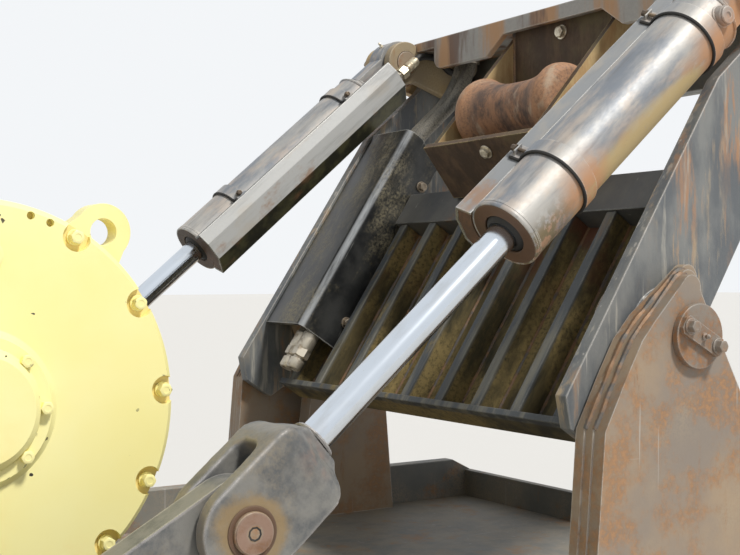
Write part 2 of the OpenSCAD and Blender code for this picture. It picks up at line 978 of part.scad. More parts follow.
module hose(route) {
    last = len(route) - 1;
    polyhedron(
        [for (i = [0:last]) each ring(route, i)],
        concat(
            [[for (k = [0:hose_turn - 1]) k]],
            [for (i = [0:last - 1], k = [0:hose_turn - 1])
                let (n = (k + 1) % hose_turn, a = i * hose_turn)
                [a + k, a + hose_turn + k, a + hose_turn + n, a + n]],
            [[for (k = [hose_turn - 1:-1:0]) last * hose_turn + k]]
        )
    );
}

module arch_hoses() {
    color("black")
        at_arch()
            for (route = hose_routes) {
                hose(route);
            }
}

boom_at = [top_rear - 120, top_z + 120];
boom_r = 70;
boom_pin_r = 35;

module boom_ear_outline() {
    disc(boom_at, boom_r);
    polygon([
        [top_rear - 260, top_z],
        [top_rear, top_z],
        boom_at + [boom_r - extra, 0],
        boom_at + [extra - boom_r, 0]
    ]);
}

module boom_ears() {
    color("darkslategray")
        difference() {
            for (y = [-190, -100, 60, 150]) {
                plate(y, 40)
                    boom_ear_outline();
            }
            bar_y(boom_at, boom_pin_r, -300, 600);
        }
}

module cylinder_pins() {
    color("gray")
        for (s = [-1, 1]) {
            on_side(s) {
                bar_y(top_pin, pin_r, ear_y_in - 2, ear_y_out + arch_ear_t - ear_y_in + 10);
                bar_y(top_pin, pin_r + 12, ear_y_out + arch_ear_t + fit, 10);
            }
        }
}

roller_edge = 34;    // width of a roller flange's round shoulder

// Half of the roller's profile from the waist out: a hollow curve, then the flange's round shoulder
roller_hollow = [
    for (i = [0:6])
        let (u = i / 6)
        [roller_waist_r + (roller_flange_r - roller_waist_r) * pow(u, 2.2),
         20 + u * (roller_len / 2 - roller_edge - 20)]
];
roller_shoulder = [
    for (a = [75:-15:0])
        [roller_flange_r - 20 + 20 * sin(a), roller_len / 2 - roller_edge * (1 - cos(a))]
];

module roller() {
    upper = concat(roller_hollow, roller_shoulder);
    lower = [for (i = [len(upper) - 1:-1:0]) [upper[i][0], -upper[i][1]]];
    bore = roller_shaft_r + fit;
    color("chocolate")
        translate([roller_at[0], 0, roller_at[1]])
            rotate([90, 0, 0])
                rotate_extrude()
                    polygon(concat([[bore, -roller_len / 2]], lower, upper, [[bore, roller_len / 2]]));
}

module roller_shaft() {
    color("gray")
        bar_y(roller_at, roller_shaft_r, -throat_half - box_t - 12, 2 * (throat_half + box_t + 12));
}

// Lift cylinders

barrel_top = pin_gap - barrel_short;
barrel_cone = 20;
mouth_d = 10;        // depth of the barrel's open mouth before the gland
mouth_r = barrel_r - 7;
gland_len = 70;
port_at = [-10, barrel_r - 6, barrel_top - 22];
eye_root = 46;       // half the width of the eye's root

module barrel() {
    color("silver")
        at_cylinder()
            difference() {
                union() {
                    translate([0, 0, barrel_low])
                        cylinder(h = barrel_top - barrel_low, r = barrel_r);
                    translate([0, 0, barrel_top - extra])
                        cylinder(h = barrel_cone + extra, r1 = barrel_r, r2 = eye_root);
                    translate([-eye_root, -eye_w / 2, barrel_top])
                        cube([2 * eye_root, eye_w, pin_gap - barrel_top]);
                    translate([0, -eye_w / 2, pin_gap])
                        rotate([-90, 0, 0])
                            cylinder(h = eye_w, r = eye_r);
                    translate(port_at)
                        rotate([-90, 0, 0])
                            cylinder(h = 16, r = 18);
                }
                translate([0, 0, barrel_low - extra])
                    cylinder(h = barrel_top - barrel_low - 40, r = barrel_r - barrel_wall);
                translate([0, 0, barrel_low - extra])
                    cylinder(h = mouth_d + extra, r = mouth_r);
                translate([0, -eye_w, pin_gap])
                    rotate([-90, 0, 0])
                        cylinder(h = 2 * eye_w, r = pin_r + fit);
            }
}

// Gland in the barrel's mouth, with the seal's collar round the rod
module gland() {
    color("black")
        at_cylinder()
            difference() {
                union() {
                    translate([0, 0, barrel_low + mouth_d])
                        cylinder(h = gland_len, r = barrel_r - barrel_wall - fit);
                    translate([0, 0, barrel_low + 2])
                        cylinder(h = mouth_d, r = rod_r + 12);
                }
                translate([0, 0, barrel_low])
                    cylinder(h = mouth_d + gland_len + extra, r = rod_r + fit);
            }
}

piston_at = barrel_low + mouth_d + gland_len + 60;

module rod() {
    color("white")
        at_cylinder() {
            translate([0, 0, clevis_len])
                cylinder(h = piston_at - clevis_len + extra, r = rod_r);
            translate([0, 0, piston_at])
                cylinder(h = 60, r = barrel_r - barrel_wall - fit);
        }
}

fork_gap = lug_t + 2 * run;
fork_w = fork_gap + 2 * clevis_ear_t;
crotch = lug_r + 24;

module clevis() {
    color("gray")
        at_cylinder()
            difference() {
                union() {
                    translate([0, -fork_w / 2, 0])
                        rotate([-90, 0, 0])
                            cylinder(h = fork_w, r = clevis_r);
                    translate([-clevis_r + extra, -fork_w / 2, 0])
                        cube([2 * clevis_r - 2 * extra, fork_w, crotch + 20]);
                    translate([0, 0, crotch])
                        cylinder(h = clevis_len - crotch, r1 = clevis_r - 4, r2 = rod_r + 8);
                }
                translate([-2 * clevis_r, -fork_gap / 2, -2 * clevis_r])
                    cube([4 * clevis_r, fork_gap, 2 * clevis_r + crotch]);
                translate([0, -fork_w, 0])
                    rotate([-90, 0, 0])
                        cylinder(h = 2 * fork_w, r = pin_r + fit);
            }
}

module clevis_pins() {
    color("gray")
        at_cylinder()
            for (s = [-1, 1]) {
                on_side(s)
                    translate([0, fork_gap / 2, 0])
                        rotate([-90, 0, 0])
                            cylinder(h = clevis_ear_t + 8, r = pin_r);
            }
}

cover_low = barrel_low - 6;
cover_high = pin_gap - 64;
// The cover's folds in the cylinder's cross-section, from the barrel's top round to its underside
cover_path = [
    [-barrel_r - cover_wall / 2 - 2 * fit - 1.2, -0.7],
    [-51.5, -77.2],
    [-27.2, -91.9],
    [15.8, -cover_reach],
    [62.3, -67.7],
    [52.6, -42.9]
];

// Folded sheet that covers the oil pipe beside the barrel
module pipe_cover(turn) {
    color("dimgray")
        at_cylinder()
            rotate(turn)
                translate([0, 0, cover_low])
                    linear_extrude(cover_high - cover_low)
                        folded_sheet(cover_path, cover_wall);
}

pipe_at = [-5, pipe_r - cover_reach + 5.4];
nut_len = 30;
nut_r = 14;
ferrule_r = 11.5;
pipe_end = pin_gap + 16;

// Oil pipe under the cover, with its nut and the ferrule of the hose that goes on from it
module pipe(turn) {
    color("silver")
        at_cylinder()
            rotate(turn)
                translate(pipe_at) {
                    translate([0, 0, cover_low + 10])
                        cylinder(h = cover_high - cover_low, r = pipe_r);
                    translate([0, 0, cover_high + 4])
                        cylinder(h = nut_len, r = nut_r, $fn = 6);
                    translate([0, 0, cover_high + 4 + nut_len - extra])
                        cylinder(h = pipe_end - cover_high - 4 - nut_len, r = ferrule_r);
                }
}

// One strap round barrel and cover, as the room between two outlines
module band_outline(grow) {
    circle(barrel_r + grow);
    hull() {
        for (i = [0:4]) {
            disc(cover_path[i], cover_wall * 0.6 + grow);
        }
        circle(barrel_r - 4);
    }
}

module band_clamps(turn) {
    color("saddlebrown")
        at_cylinder()
            rotate(turn)
                for (at = [band_a, band_b]) {
                    translate([0, 0, barrel_low + at - band_w / 2])
                        linear_extrude(band_w)
                            difference() {
                                band_outline(band_t + fit);
                                band_outline(fit);
                            }
                }
}

on_side(-1) frame_side();  // frame_side_left
frame_side();  // frame_side_right
frame_deck();
frame_belly();
frame_bulkheads();
frame_nose();
frame_rear_plate();  // frame_rear
axle_seats();
on_side(-1) lug();  // lug_left
lug();  // lug_right
on_side(-1) pivot_ears();  // pivot_ears_left
pivot_ears();  // pivot_ears_right
pivot_pins();
winch_base();
on_side(-1) winch_case();  // winch_case_left
winch_case();  // winch_case_right
on_side(-1) winch_cover();  // winch_cover_left
winch_cover();  // winch_cover_right
winch_motor();
winch_drum();
on_side(-1) arch_leg();  // arch_leg_left
arch_leg();  // arch_leg_right
arch_panel();
arch_cross_member();
arch_top();
on_side(-1) arch_ears();  // arch_ears_left
arch_ears();  // arch_ears_right
arch_back();
fairlead_box();
hose_guard();
arch_hoses();
boom_ears();
cylinder_pins();
roller();
roller_shaft();
on_side(-1) barrel();  // barrel_left
barrel();  // barrel_right
on_side(-1) gland();  // gland_left
gland();  // gland_right
on_side(-1) pipe_cover(-cover_turn);  // pipe_cover_left
pipe_cover(cover_turn);  // pipe_cover_right
on_side(-1) pipe(-cover_turn);  // pipe_left
pipe(cover_turn);  // pipe_right
on_side(-1) band_clamps(-cover_turn);  // band_clamps_left
band_clamps(cover_turn);  // band_clamps_right
on_side(-1) rod();  // rod_left
rod();  // rod_right
on_side(-1) clevis();  // clevis_left
clevis();  // clevis_right
on_side(-1) clevis_pins();  // clevis_pins_left
clevis_pins();  // clevis_pins_right
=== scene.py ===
"""Looks of a skidder's rear winch-and-arch unit, built round its solids.

Metres, except in profiles, which are in millimetres. +X is to the machine's rear, +Y to its right, +Z up.
"""

import json
import math

import bmesh
import bpy
from mathutils import Matrix, Vector, noise

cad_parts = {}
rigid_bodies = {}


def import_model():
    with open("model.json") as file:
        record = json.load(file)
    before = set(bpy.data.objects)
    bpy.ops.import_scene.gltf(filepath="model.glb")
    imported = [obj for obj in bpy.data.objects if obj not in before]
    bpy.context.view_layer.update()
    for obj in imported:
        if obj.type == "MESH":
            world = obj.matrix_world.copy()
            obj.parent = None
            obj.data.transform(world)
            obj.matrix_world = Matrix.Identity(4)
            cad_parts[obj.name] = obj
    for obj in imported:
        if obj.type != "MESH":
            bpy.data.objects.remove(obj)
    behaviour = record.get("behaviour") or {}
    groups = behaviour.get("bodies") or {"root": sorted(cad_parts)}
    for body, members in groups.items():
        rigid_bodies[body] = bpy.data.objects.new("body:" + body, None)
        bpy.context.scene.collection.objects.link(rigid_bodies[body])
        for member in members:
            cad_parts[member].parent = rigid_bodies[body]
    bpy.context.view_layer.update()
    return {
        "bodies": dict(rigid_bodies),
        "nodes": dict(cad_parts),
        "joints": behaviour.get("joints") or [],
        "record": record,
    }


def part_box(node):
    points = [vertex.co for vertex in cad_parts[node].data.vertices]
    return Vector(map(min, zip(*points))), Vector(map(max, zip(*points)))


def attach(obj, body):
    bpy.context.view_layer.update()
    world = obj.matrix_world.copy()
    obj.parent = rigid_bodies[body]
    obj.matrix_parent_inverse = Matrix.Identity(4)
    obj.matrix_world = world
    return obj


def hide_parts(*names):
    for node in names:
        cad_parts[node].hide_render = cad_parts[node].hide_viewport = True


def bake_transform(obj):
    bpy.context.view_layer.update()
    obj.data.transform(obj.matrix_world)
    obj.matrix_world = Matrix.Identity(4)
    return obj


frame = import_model()

# Places from the joints
joints = {j["name"]: j for j in frame["joints"]}
PIVOT, WINCH, ROLLER, TOP_PIN = (Vector(joints[name]["pos_m"]) for name in (
    "arch_tilt", "drum_spin", "roller_spin", "barrel_right_swing"))
ALONG = -Vector(joints["rod_right_slide"]["axis"])

# Sizes that the solids share
LEAN = math.radians(33.4)        # lean of the arch's legs
PIN_GAP = 1.4017                 # between a cylinder's two pins
HALF = TOP_PIN.y                 # from the middle to a cylinder's axis
BARREL_R = 0.0635
BARREL_LOW = 0.640               # the barrel's mouth, from the lower pin
BARREL_TOP = PIN_GAP - 0.150
PORT = (-0.010, BARREL_TOP - 0.022)
BAND_AT = (0.148, 0.551)         # middles of the clamps, from the mouth
BAND_W = 0.030
ROD_R = 0.0254
TOP_Z = 1.570                    # upper face of the arch's top plate
TOP_UNDER = TOP_Z - 0.024
LIP_X = TOP_PIN.x + 0.032        # front face of the top plate's lip
THROAT_X = LIP_X + 0.036         # front face of the fairlead's upright plate
THROAT_HALF = 0.167              # inside half width of the fairlead
BOX_WALL = 0.016
COVER_FACE = 0.350               # outer face of a winch cover, from the middle
COVER_BOLTS = (3, 31, 59, 90, 121, 149, 177, 205, 227, 249, 270, 291, 313, 335)
COVER_BOLT_R = 0.292
POCKET_D = 0.014
CAP_FACE = COVER_FACE + 0.012
CAP_BOLT_R = 0.098
PIN_END = 0.6803                 # end face of a pivot pin, from the middle
TOP_PIN_END = 0.6553             # end face of a cylinder's upper pin
DECK_Z = 0.350

SIDES = (("left", -1), ("right", 1))

# Local frames: the arch's has Z up the leg from the pivot and X behind it. A cylinder's has Z from its
# lower pin to its upper one and Y to the machine's outside, so its left one is a mirror image.
ROW = Matrix.Identity(4)
ARCH = Matrix.Translation(PIVOT) @ Matrix.Rotation(LEAN, 4, "Y")
LOW_PIN = TOP_PIN - ALONG * PIN_GAP
CYLINDER = {1: Matrix.Translation(LOW_PIN) @ Matrix.Rotation(math.atan2(ALONG.x, ALONG.z), 4, "Y")}
CYLINDER[-1] = Matrix.Scale(-1, 4, (0, 1, 0)) @ CYLINDER[1]


# Materials

class Paint:
    """A material's node tree in short calls. A value is a number, a colour or another node's socket."""

    def __init__(self, name, frame=ROW, radius=0.004):
        self.material = bpy.data.materials.new(name)
        self.material.use_nodes = True
        self.tree = self.material.node_tree
        self.tree.nodes.clear()
        output = self.tree.nodes.new("ShaderNodeOutputMaterial")
        self.shader = self.tree.nodes.new("ShaderNodeBsdfPrincipled")
        self.tree.links.new(self.shader.outputs[0], output.inputs[0])
        coords = self.tree.nodes.new("ShaderNodeTexCoord")
        self.normal = coords.outputs["Normal"]
        self.here = self.node("ShaderNodeMapping", {
            "Vector": coords.outputs["Object"], "Location": frame.to_translation(),
            "Rotation": frame.to_euler()}, vector_type="TEXTURE")[0]
        self.radius = radius
        self.colour = (0.5, 0.5, 0.5)

    def put(self, socket, value):
        if isinstance(value, bpy.types.NodeSocket):
            self.tree.links.new(value, socket)
        elif isinstance(value, (tuple, list)) and len(value) == 3 and socket.type == "RGBA":
            socket.default_value = (*value, 1)
        else:
            socket.default_value = value

    def node(self, kind, inputs, **settings):
        made = self.tree.nodes.new(kind)
        for key, value in settings.items():
            setattr(made, key, value)
        for key, value in inputs.items():
            self.put(made.inputs[key], value)
        return made.outputs

    def math(self, op, first, *others):
        for other in others or (0.0,):
            first = self.node("ShaderNodeMath", {0: first, 1: other}, operation=op)[0]
        return first

    def vector(self, op, a, b=(0, 0, 0)):
        made = self.node("ShaderNodeVectorMath", {0: a, 1: b}, operation=op)
        return made[1 if op in ("LENGTH", "DOT_PRODUCT") else 0]

    def times(self, first, *others):
        return self.math("MULTIPLY", first, *others) if others else first

    def most(self, *values):
        return self.math("MAXIMUM", *values)

    def sum(self, *terms):
        """The sum of its terms. A pair is a value and its share."""
        return self.math("ADD", *(self.times(*t) if isinstance(t, tuple) else t for t in terms))

    def rest(self, value):
        return self.math("SUBTRACT", 1.0, value)

    def off(self, value, at=0.0):
        """How far a value is from a number."""
        return self.math("ABSOLUTE", self.math("SUBTRACT", value, at) if at else value)

    def noise(self, scale, stretch=1, detail=4, rough=0.6, shift=0.0):
        """Cloudy noise from 0 to 1, about `scale` spots a metre.

        stretch under 1 draws the spots out along Z, or along each axis if it is a tuple.
        """
        stretch = stretch if isinstance(stretch, tuple) else (1, 1, stretch)
        spot = self.node("ShaderNodeMapping", {0: self.here, 1: (shift, shift, shift), 3: stretch})[0]
        return self.node("ShaderNodeTexNoise",
                         {"Vector": spot, "Scale": scale, "Detail": detail, "Roughness": rough})[0]

    def step(self, value, low, high):
        """0 below low, 1 above high, smooth between. low may be above high."""
        return self.node("ShaderNodeMapRange", {"Value": value, "From Min": low, "From Max": high},
                         interpolation_type="SMOOTHSTEP")[0]

    def spots(self, scale, low, high, *args, **settings):
        """Patches of noise: 0 where it is under low, 1 where it is over high."""
        return self.step(self.noise(scale, *args, **settings), low, high)

    def mix(self, factor, a, b):
        return self.node("ShaderNodeMix", {0: factor, 6: a, 7: b}, data_type="RGBA")[2]

    def start(self, factor, a, b):
        self.colour = self.mix(factor, a, b)

    def over(self, colour, *factors):
        """Lays a colour over the colour so far, as thick as the product of the factors."""
        self.colour = self.mix(self.times(*factors), self.colour, colour)

    def axis(self, i, vector=None):
        return self.node("ShaderNodeSeparateXYZ", {0: vector or self.here})[i]

    def near(self, point, reach):
        """1 at a point of the material's frame, falling to 0 at the reach along each axis."""
        off = self.vector("MULTIPLY", self.vector("SUBTRACT", self.here, point), [1 / r for r in reach])
        return self.step(self.vector("LENGTH", off), 1, 0)

    def edges(self):
        """1 on outer edges."""
        round_normal = self.node("ShaderNodeBevel", {"Radius": self.radius}, samples=4)[0]
        true_normal = self.node("ShaderNodeNewGeometry", {})[1]
        return self.step(self.vector("DOT_PRODUCT", round_normal, true_normal), 0.985, 0.86)

    def worn(self, low, high, scale=30, **settings):
        """Edges, broken up by noise."""
        return self.times(self.edges(), self.spots(scale, low, high, **settings))

    def upward(self):
        return self.step(self.axis(2, self.normal), 0.25, 0.9)

    def finish(self, rough, metal=0.0, height=None, strength=0.3, distance=0.002):
        self.put(self.shader.inputs["Base Color"], self.colour)
        self.put(self.shader.inputs["Roughness"], rough)
        self.put(self.shader.inputs["Metallic"], metal)
        if height is not None:
            bump = self.node("ShaderNodeBump", {"Height": height, "Strength": strength, "Distance": distance})
            self.put(self.shader.inputs["Normal"], bump[0])
        return self.material


def worn_steel(name, base, second, *, frame=ROW, rust=(0.30, 0.15, 0.065), rust_cover=0.35, streaks=0.5,
               dust=(0.36, 0.29, 0.20), dust_cover=0.4, bare=(0.46, 0.45, 0.43), edge=0.7, rough=(0.45, 0.75)):
    """Painted or bare plate: two tones, rust in patches and streaks, dust on top, edges worn to metal."""
    p = Paint(name, frame)
    fine = p.noise(90, detail=5, rough=0.7)
    patch = p.noise(9, detail=7, rough=0.68, shift=3.1)
    p.start(p.spots(3.2, 0.36, 0.64, detail=6), base, second)
    low = 0.66 - 0.3 * rust_cover
    rusty = p.times(p.step(patch, low, low + 0.14), p.step(fine, 0.25, 0.6))
    low = 0.70 - 0.22 * streaks
    drip = p.times(p.spots(26, low, low + 0.16, 0.16, detail=6, rough=0.72), min(1.0, 0.4 + streaks))
    p.over(p.mix(p.step(fine, 0.35, 0.65), [0.62 * c for c in rust], rust), p.most(rusty, drip))
    low = 0.62 - 0.3 * dust_cover
    dusty = p.times(p.spots(6, low, low + 0.24, detail=6, shift=7.7), p.spots(240, 0.3, 0.62, detail=2), 0.9)
    settled = p.times(p.upward(), p.spots(14, 0.3, 0.7, detail=6, shift=1.3), 0.75 * dust_cover)
    p.over(dust, p.most(p.times(dusty, dust_cover), settled))
    scratched = p.most(p.spots(55, 0.69, 0.73, 0.035, detail=3, rough=0.5, shift=5.2),
                       p.spots(60, 0.72, 0.76, (0.05, 1, 0.6), detail=3, rough=0.5, shift=9.4))
    bright = p.most(p.times(p.worn(0.3, 0.55), edge), p.times(scratched, 0.35))
    p.over(bare, bright)
    return p.finish(p.mix(fine, [rough[0]] * 3, [rough[1]] * 3), p.times(bright, 0.6),
                    p.sum((fine, 0.5), (rusty, -0.5), (patch, 0.4)))


def winch_yellow():
    """Thick, pale yellow paint with small chips to black, most of them along the edges."""
    p = Paint("winch_yellow", radius=0.006)
    p.start(p.spots(2.6, 0.3, 0.7, detail=5), (0.95, 0.86, 0.36), (0.96, 0.90, 0.45))
    p.over((0.96, 0.78, 0.30), p.spots(7, 0.5, 0.75, detail=6, shift=2), 0.5)
    # Darker orange on the floors of the bolt pockets, round the bolts' feet: painted shade in the recesses.
    p.over((0.80, 0.56, 0.17), p.step(p.off(p.off(p.axis(1)), COVER_FACE - POCKET_D), 0.004, 0.001), 0.5)
    p.over((0.42, 0.33, 0.16), p.step(p.axis(2), 0.62, 0.40), p.spots(9, 0.4, 0.7, 0.3, shift=4), 0.5)
    chips = p.most(p.times(p.spots(48, 0.722, 0.735, detail=2, rough=0.45, shift=6),
                           p.spots(6, 0.40, 0.55, shift=8)),
                   p.worn(0.645, 0.68, 70, detail=3, shift=1))
    p.over((0.035, 0.03, 0.022), chips)
    return p.finish(p.sum((chips, 0.25), 0.42), 0.0,
                    p.sum((p.noise(180, detail=2), 0.35), (chips, -0.8)), 0.18, 0.001)


def barrel_steel(name, side):
    """Worn blue-grey and silver barrel: mud and rust low on its rear side, orange rust round the bands."""
    p = Paint(name, CYLINDER[1])
    x, s = p.axis(0), p.axis(2)
    cloud = p.noise(9, 0.35, detail=7, rough=0.65)
    fine = p.noise(150, 0.5, detail=5, rough=0.72)
    p.start(p.step(cloud, 0.38, 0.62), (0.185, 0.205, 0.235), (0.40, 0.385, 0.36))
    p.over((0.15, 0.15, 0.155), p.spots(70, 0.50, 0.68, 0.08, detail=5, rough=0.62, shift=2), 0.5)
    p.over((0.50, 0.41, 0.33), p.spots(26, 0.5, 0.66, 0.3, detail=6, shift=6), 0.55)
    below = p.step(x, -0.020, 0.026)
    mottle = p.times(below, p.spots(20, 0.38, 0.58, 0.5, detail=7, rough=0.7, shift=5))
    p.over((0.36, 0.20, 0.105), mottle, 0.9)
    mud = p.near((0.040, -2 * HALF if side < 0 else 0, (BARREL_LOW + BARREL_TOP) / 2), (0.085, 0.13, 0.34))
    mud = p.times(mud, p.sum(p.noise(9, 0.5, detail=7, rough=0.65, shift=1), 0.55))
    mud = p.times(p.step(mud, 0.14, 0.32), p.spots(130, 0.15, 0.42), below)
    p.over((0.44, 0.33, 0.155), mud, 0.95)
    ends = p.most(p.step(s, BARREL_TOP - 0.07, BARREL_TOP - 0.02),
                  *(p.step(p.off(s, BARREL_LOW + at), 0.075, 0.018) for at in BAND_AT))
    band = p.times(ends, p.step(x, -0.045, 0.02), p.spots(26, 0.30, 0.52, detail=7, rough=0.7, shift=9))
    p.over((0.46, 0.235, 0.115), band, 0.9)
    mouth = p.times(p.step(s, BARREL_LOW + 0.13, BARREL_LOW + 0.03), below,
                    p.spots(75, 0.40, 0.54, detail=5, shift=3))
    p.over((0.16, 0.125, 0.065), mouth)
    stain = p.most(band, mud, mottle, mouth)
    p.over((0.66, 0.63, 0.58), p.worn(0.40, 0.6, 40), 0.8)
    return p.finish(p.sum((stain, 0.22), (fine, 0.26), 0.34), p.times(p.rest(stain), 0.18),
                    p.sum((fine, 0.6), (stain, 0.5), (cloud, 0.4)), 0.35, 0.0012)


def cover_grey(name, side):
    """Folded sheet beside the barrel: rubbed grey paint, its inward-looking faces lighter as painted sunlight,
    and dark olive underneath as painted shade.
    """
    p = Paint(name, CYLINDER[1])
    fine = p.noise(140)
    scuff = p.noise(30, 0.1, detail=6, rough=0.7)
    # Faces that look inward to the machine's middle are lighter: painted sunlight. The two sides' sheets start
    # from different greys, a lit and a shaded copy of one paint.
    p.start(p.step(p.times(p.axis(1, p.normal), -side), 0.35, 0.75),
            (0.20, 0.20, 0.195) if side > 0 else (0.25, 0.26, 0.27), (0.46, 0.465, 0.46))
    p.over((0.17, 0.17, 0.165), p.step(scuff, 0.48, 0.68), 0.5)
    p.over((0.42, 0.36, 0.28), p.spots(18, 0.5, 0.68, 0.4, detail=6, shift=2), 0.4)
    # Dark olive on the faces that look down: painted shade under the sheet.
    olive = p.mix(p.spots(20, 0.4, 0.62, detail=6, shift=3), (0.030, 0.030, 0.018), (0.105, 0.10, 0.045))
    p.over(olive, p.step(p.axis(2, p.normal), -0.05, -0.4))
    p.over((0.30, 0.16, 0.08), p.spots(13, 0.58, 0.70, 0.6, detail=7, shift=4), 0.7)
    worn = p.worn(0.25, 0.45)
    p.over((0.66, 0.65, 0.62), worn)
    return p.finish(p.sum((fine, 0.3), 0.33), p.times(worn, 0.6), p.sum((fine, 0.5), (scuff, 0.4)), 0.25, 0.001)


def clevis_cast():
    """Dark cast steel, lighter where it rubs, with ochre rust spreading round the pin."""
    p = Paint("clevis_cast", CYLINDER[1], radius=0.009)
    x, z = p.axis(0), p.axis(2)
    fine = p.noise(150, detail=5, rough=0.7)
    cloud = p.noise(14, detail=7, rough=0.68)
    p.start(p.step(cloud, 0.36, 0.62), (0.085, 0.090, 0.095), (0.20, 0.195, 0.18))
    p.over((0.235, 0.20, 0.155), p.step(p.axis(0, p.normal), -0.55, -0.80), p.step(fine, 0.2, 0.6))
    from_pin = p.math("SQRT", p.sum((x, x), (z, z)))
    halo = p.step(p.sum(from_pin, (p.noise(24, detail=6, rough=0.7, shift=2), 0.05)), 0.088, 0.066)
    p.over((0.27, 0.185, 0.085), halo, 0.85)
    p.over((0.30, 0.17, 0.12), p.near((0.0, -2 * HALF, 0.135), (0.05, 0.12, 0.04)),
           p.spots(40, 0.4, 0.6, shift=5), 0.7)
    p.over((0.26, 0.22, 0.16), p.spots(9, 0.45, 0.66, detail=6, shift=8), p.step(fine, 0.3, 0.65), 0.6)
    worn = p.worn(0.25, 0.5, 34)
    p.over((0.55, 0.52, 0.50), worn)
    return p.finish(p.sum((fine, 0.25), 0.38), p.sum((worn, 0.5), 0.1), p.sum((fine, 0.7), (cloud, 0.6)),
                    0.5, 0.0015)


def chrome():
    """Hard chrome, filmed underneath with tan that is partly brown oil and partly a painted reflection."""
    p = Paint("chrome", CYLINDER[1])
    fine = p.noise(220, 0.05, detail=3)
    wipe = p.noise(40, 0.3, detail=5, shift=2)
    p.colour = (0.66, 0.71, 0.77)
    p.over((0.50, 0.50, 0.49), p.step(wipe, 0.45, 0.75), 0.45)
    # Tan on the rod's down-rear side: an oil film, and also a painted reflection of the ground.
    p.over((0.40, 0.33, 0.24), p.step(p.axis(0), 0.006, 0.020), p.step(wipe, 0.2, 0.6), 0.85)
    p.over((0.30, 0.24, 0.17), p.spots(300, 0.74, 0.78, detail=2, shift=6), 0.5)
    return p.finish(p.sum((fine, 0.05), (wipe, 0.08), 0.10), 1.0, fine, 0.03, 0.0005)


def roller_rust():
    """Orange-brown rust with dark bands and streaks that run round the roller."""
    p = Paint("roller_rust", Matrix.Translation(ROLLER))
    fine = p.noise(150, detail=5, rough=0.72)
    rings = p.noise(34, (0.45, 1, 0.45), detail=8, rough=0.78)
    p.start(p.spots(16, 0.38, 0.62, (0.6, 1, 0.6), detail=7, rough=0.68, shift=3),
            (0.37, 0.19, 0.10), (0.19, 0.115, 0.078))
    shoulder = p.step(p.off(p.axis(1)), 0.085, 0.120)
    p.over((0.060, 0.044, 0.038), p.step(rings, 0.42, 0.62), p.rest(p.times(shoulder, 0.7)), 0.85)
    p.over((0.46, 0.245, 0.13), shoulder, p.step(fine, 0.3, 0.6), 0.8)
    p.over((0.46, 0.36, 0.26), p.spots(30, 0.54, 0.66, (0.4, 1, 0.4), detail=6, shift=8), 0.65)
    return p.finish(p.sum((fine, 0.2), 0.58), 0.0, p.sum((fine, 0.6), (rings, 0.6)), 0.6)


def fairlead_rust():
    """Brown plates, their base darkened as painted shade; the faces that look to the left are lit ochre as
    painted sunlight.
    """
    p = Paint("fairlead_rust")
    fine = p.noise(120, detail=5, rough=0.7)
    runs = p.noise(24, 0.25, detail=7, rough=0.7)
    # The dark brown base is painted shade, and the ochre on faces looking to the left (-Y) is painted sunlight.
    p.start(p.step(runs, 0.4, 0.66), (0.052, 0.030, 0.016), (0.105, 0.062, 0.032))
    p.over(p.mix(p.step(runs, 0.38, 0.62), (0.40, 0.24, 0.105), (0.52, 0.38, 0.19)),
           p.step(p.axis(1, p.normal), -0.3, -0.8))
    p.over((0.15, 0.125, 0.055), p.spots(6, 0.48, 0.66, detail=5, shift=2), 0.5)
    p.over((0.50, 0.40, 0.20), p.worn(0.28, 0.5, 26), 0.9)
    return p.finish(p.sum((fine, 0.2), 0.62), 0.0, p.sum((fine, 0.6), (runs, 0.6)), 0.35)


def panel_paint():
    """Dark olive-brown panel with ochre patches of painted sunlight between its ribs, and slate on the ribs'
    fronts.
    """
    p = Paint("panel_paint", ARCH)
    fine = p.noise(120, detail=5, rough=0.7)
    runs = p.noise(20, 0.2, detail=7, rough=0.72)
    p.start(p.step(runs, 0.38, 0.60), (0.030, 0.028, 0.016), (0.105, 0.082, 0.036))
    # Ochre patches: painted sunlight falling between the ribs.
    p.over((0.30, 0.225, 0.09), p.spots(6, 0.42, 0.58, 0.45, detail=7, rough=0.66, shift=4),
           p.step(fine, 0.28, 0.58), 0.9)
    p.over((0.14, 0.050, 0.025), p.step(p.axis(2), 0.02, 0.20), p.spots(9, 0.46, 0.62, detail=5, shift=9), 0.8)
    slate = p.mix(p.spots(30, 0.44, 0.62, 0.12, detail=6, shift=2), (0.055, 0.062, 0.068),
                  (0.155, 0.15, 0.125))
    p.over(slate, p.step(p.axis(0), -0.030, -0.038), p.spots(26, 0.26, 0.5, 0.3, shift=6))
    p.over((0.30, 0.29, 0.25), p.worn(0.38, 0.56, stretch=0.4), 0.9)
    return p.finish(p.sum((fine, 0.25), 0.48), 0.0, p.sum((fine, 0.6), (runs, 0.6)), 0.45)


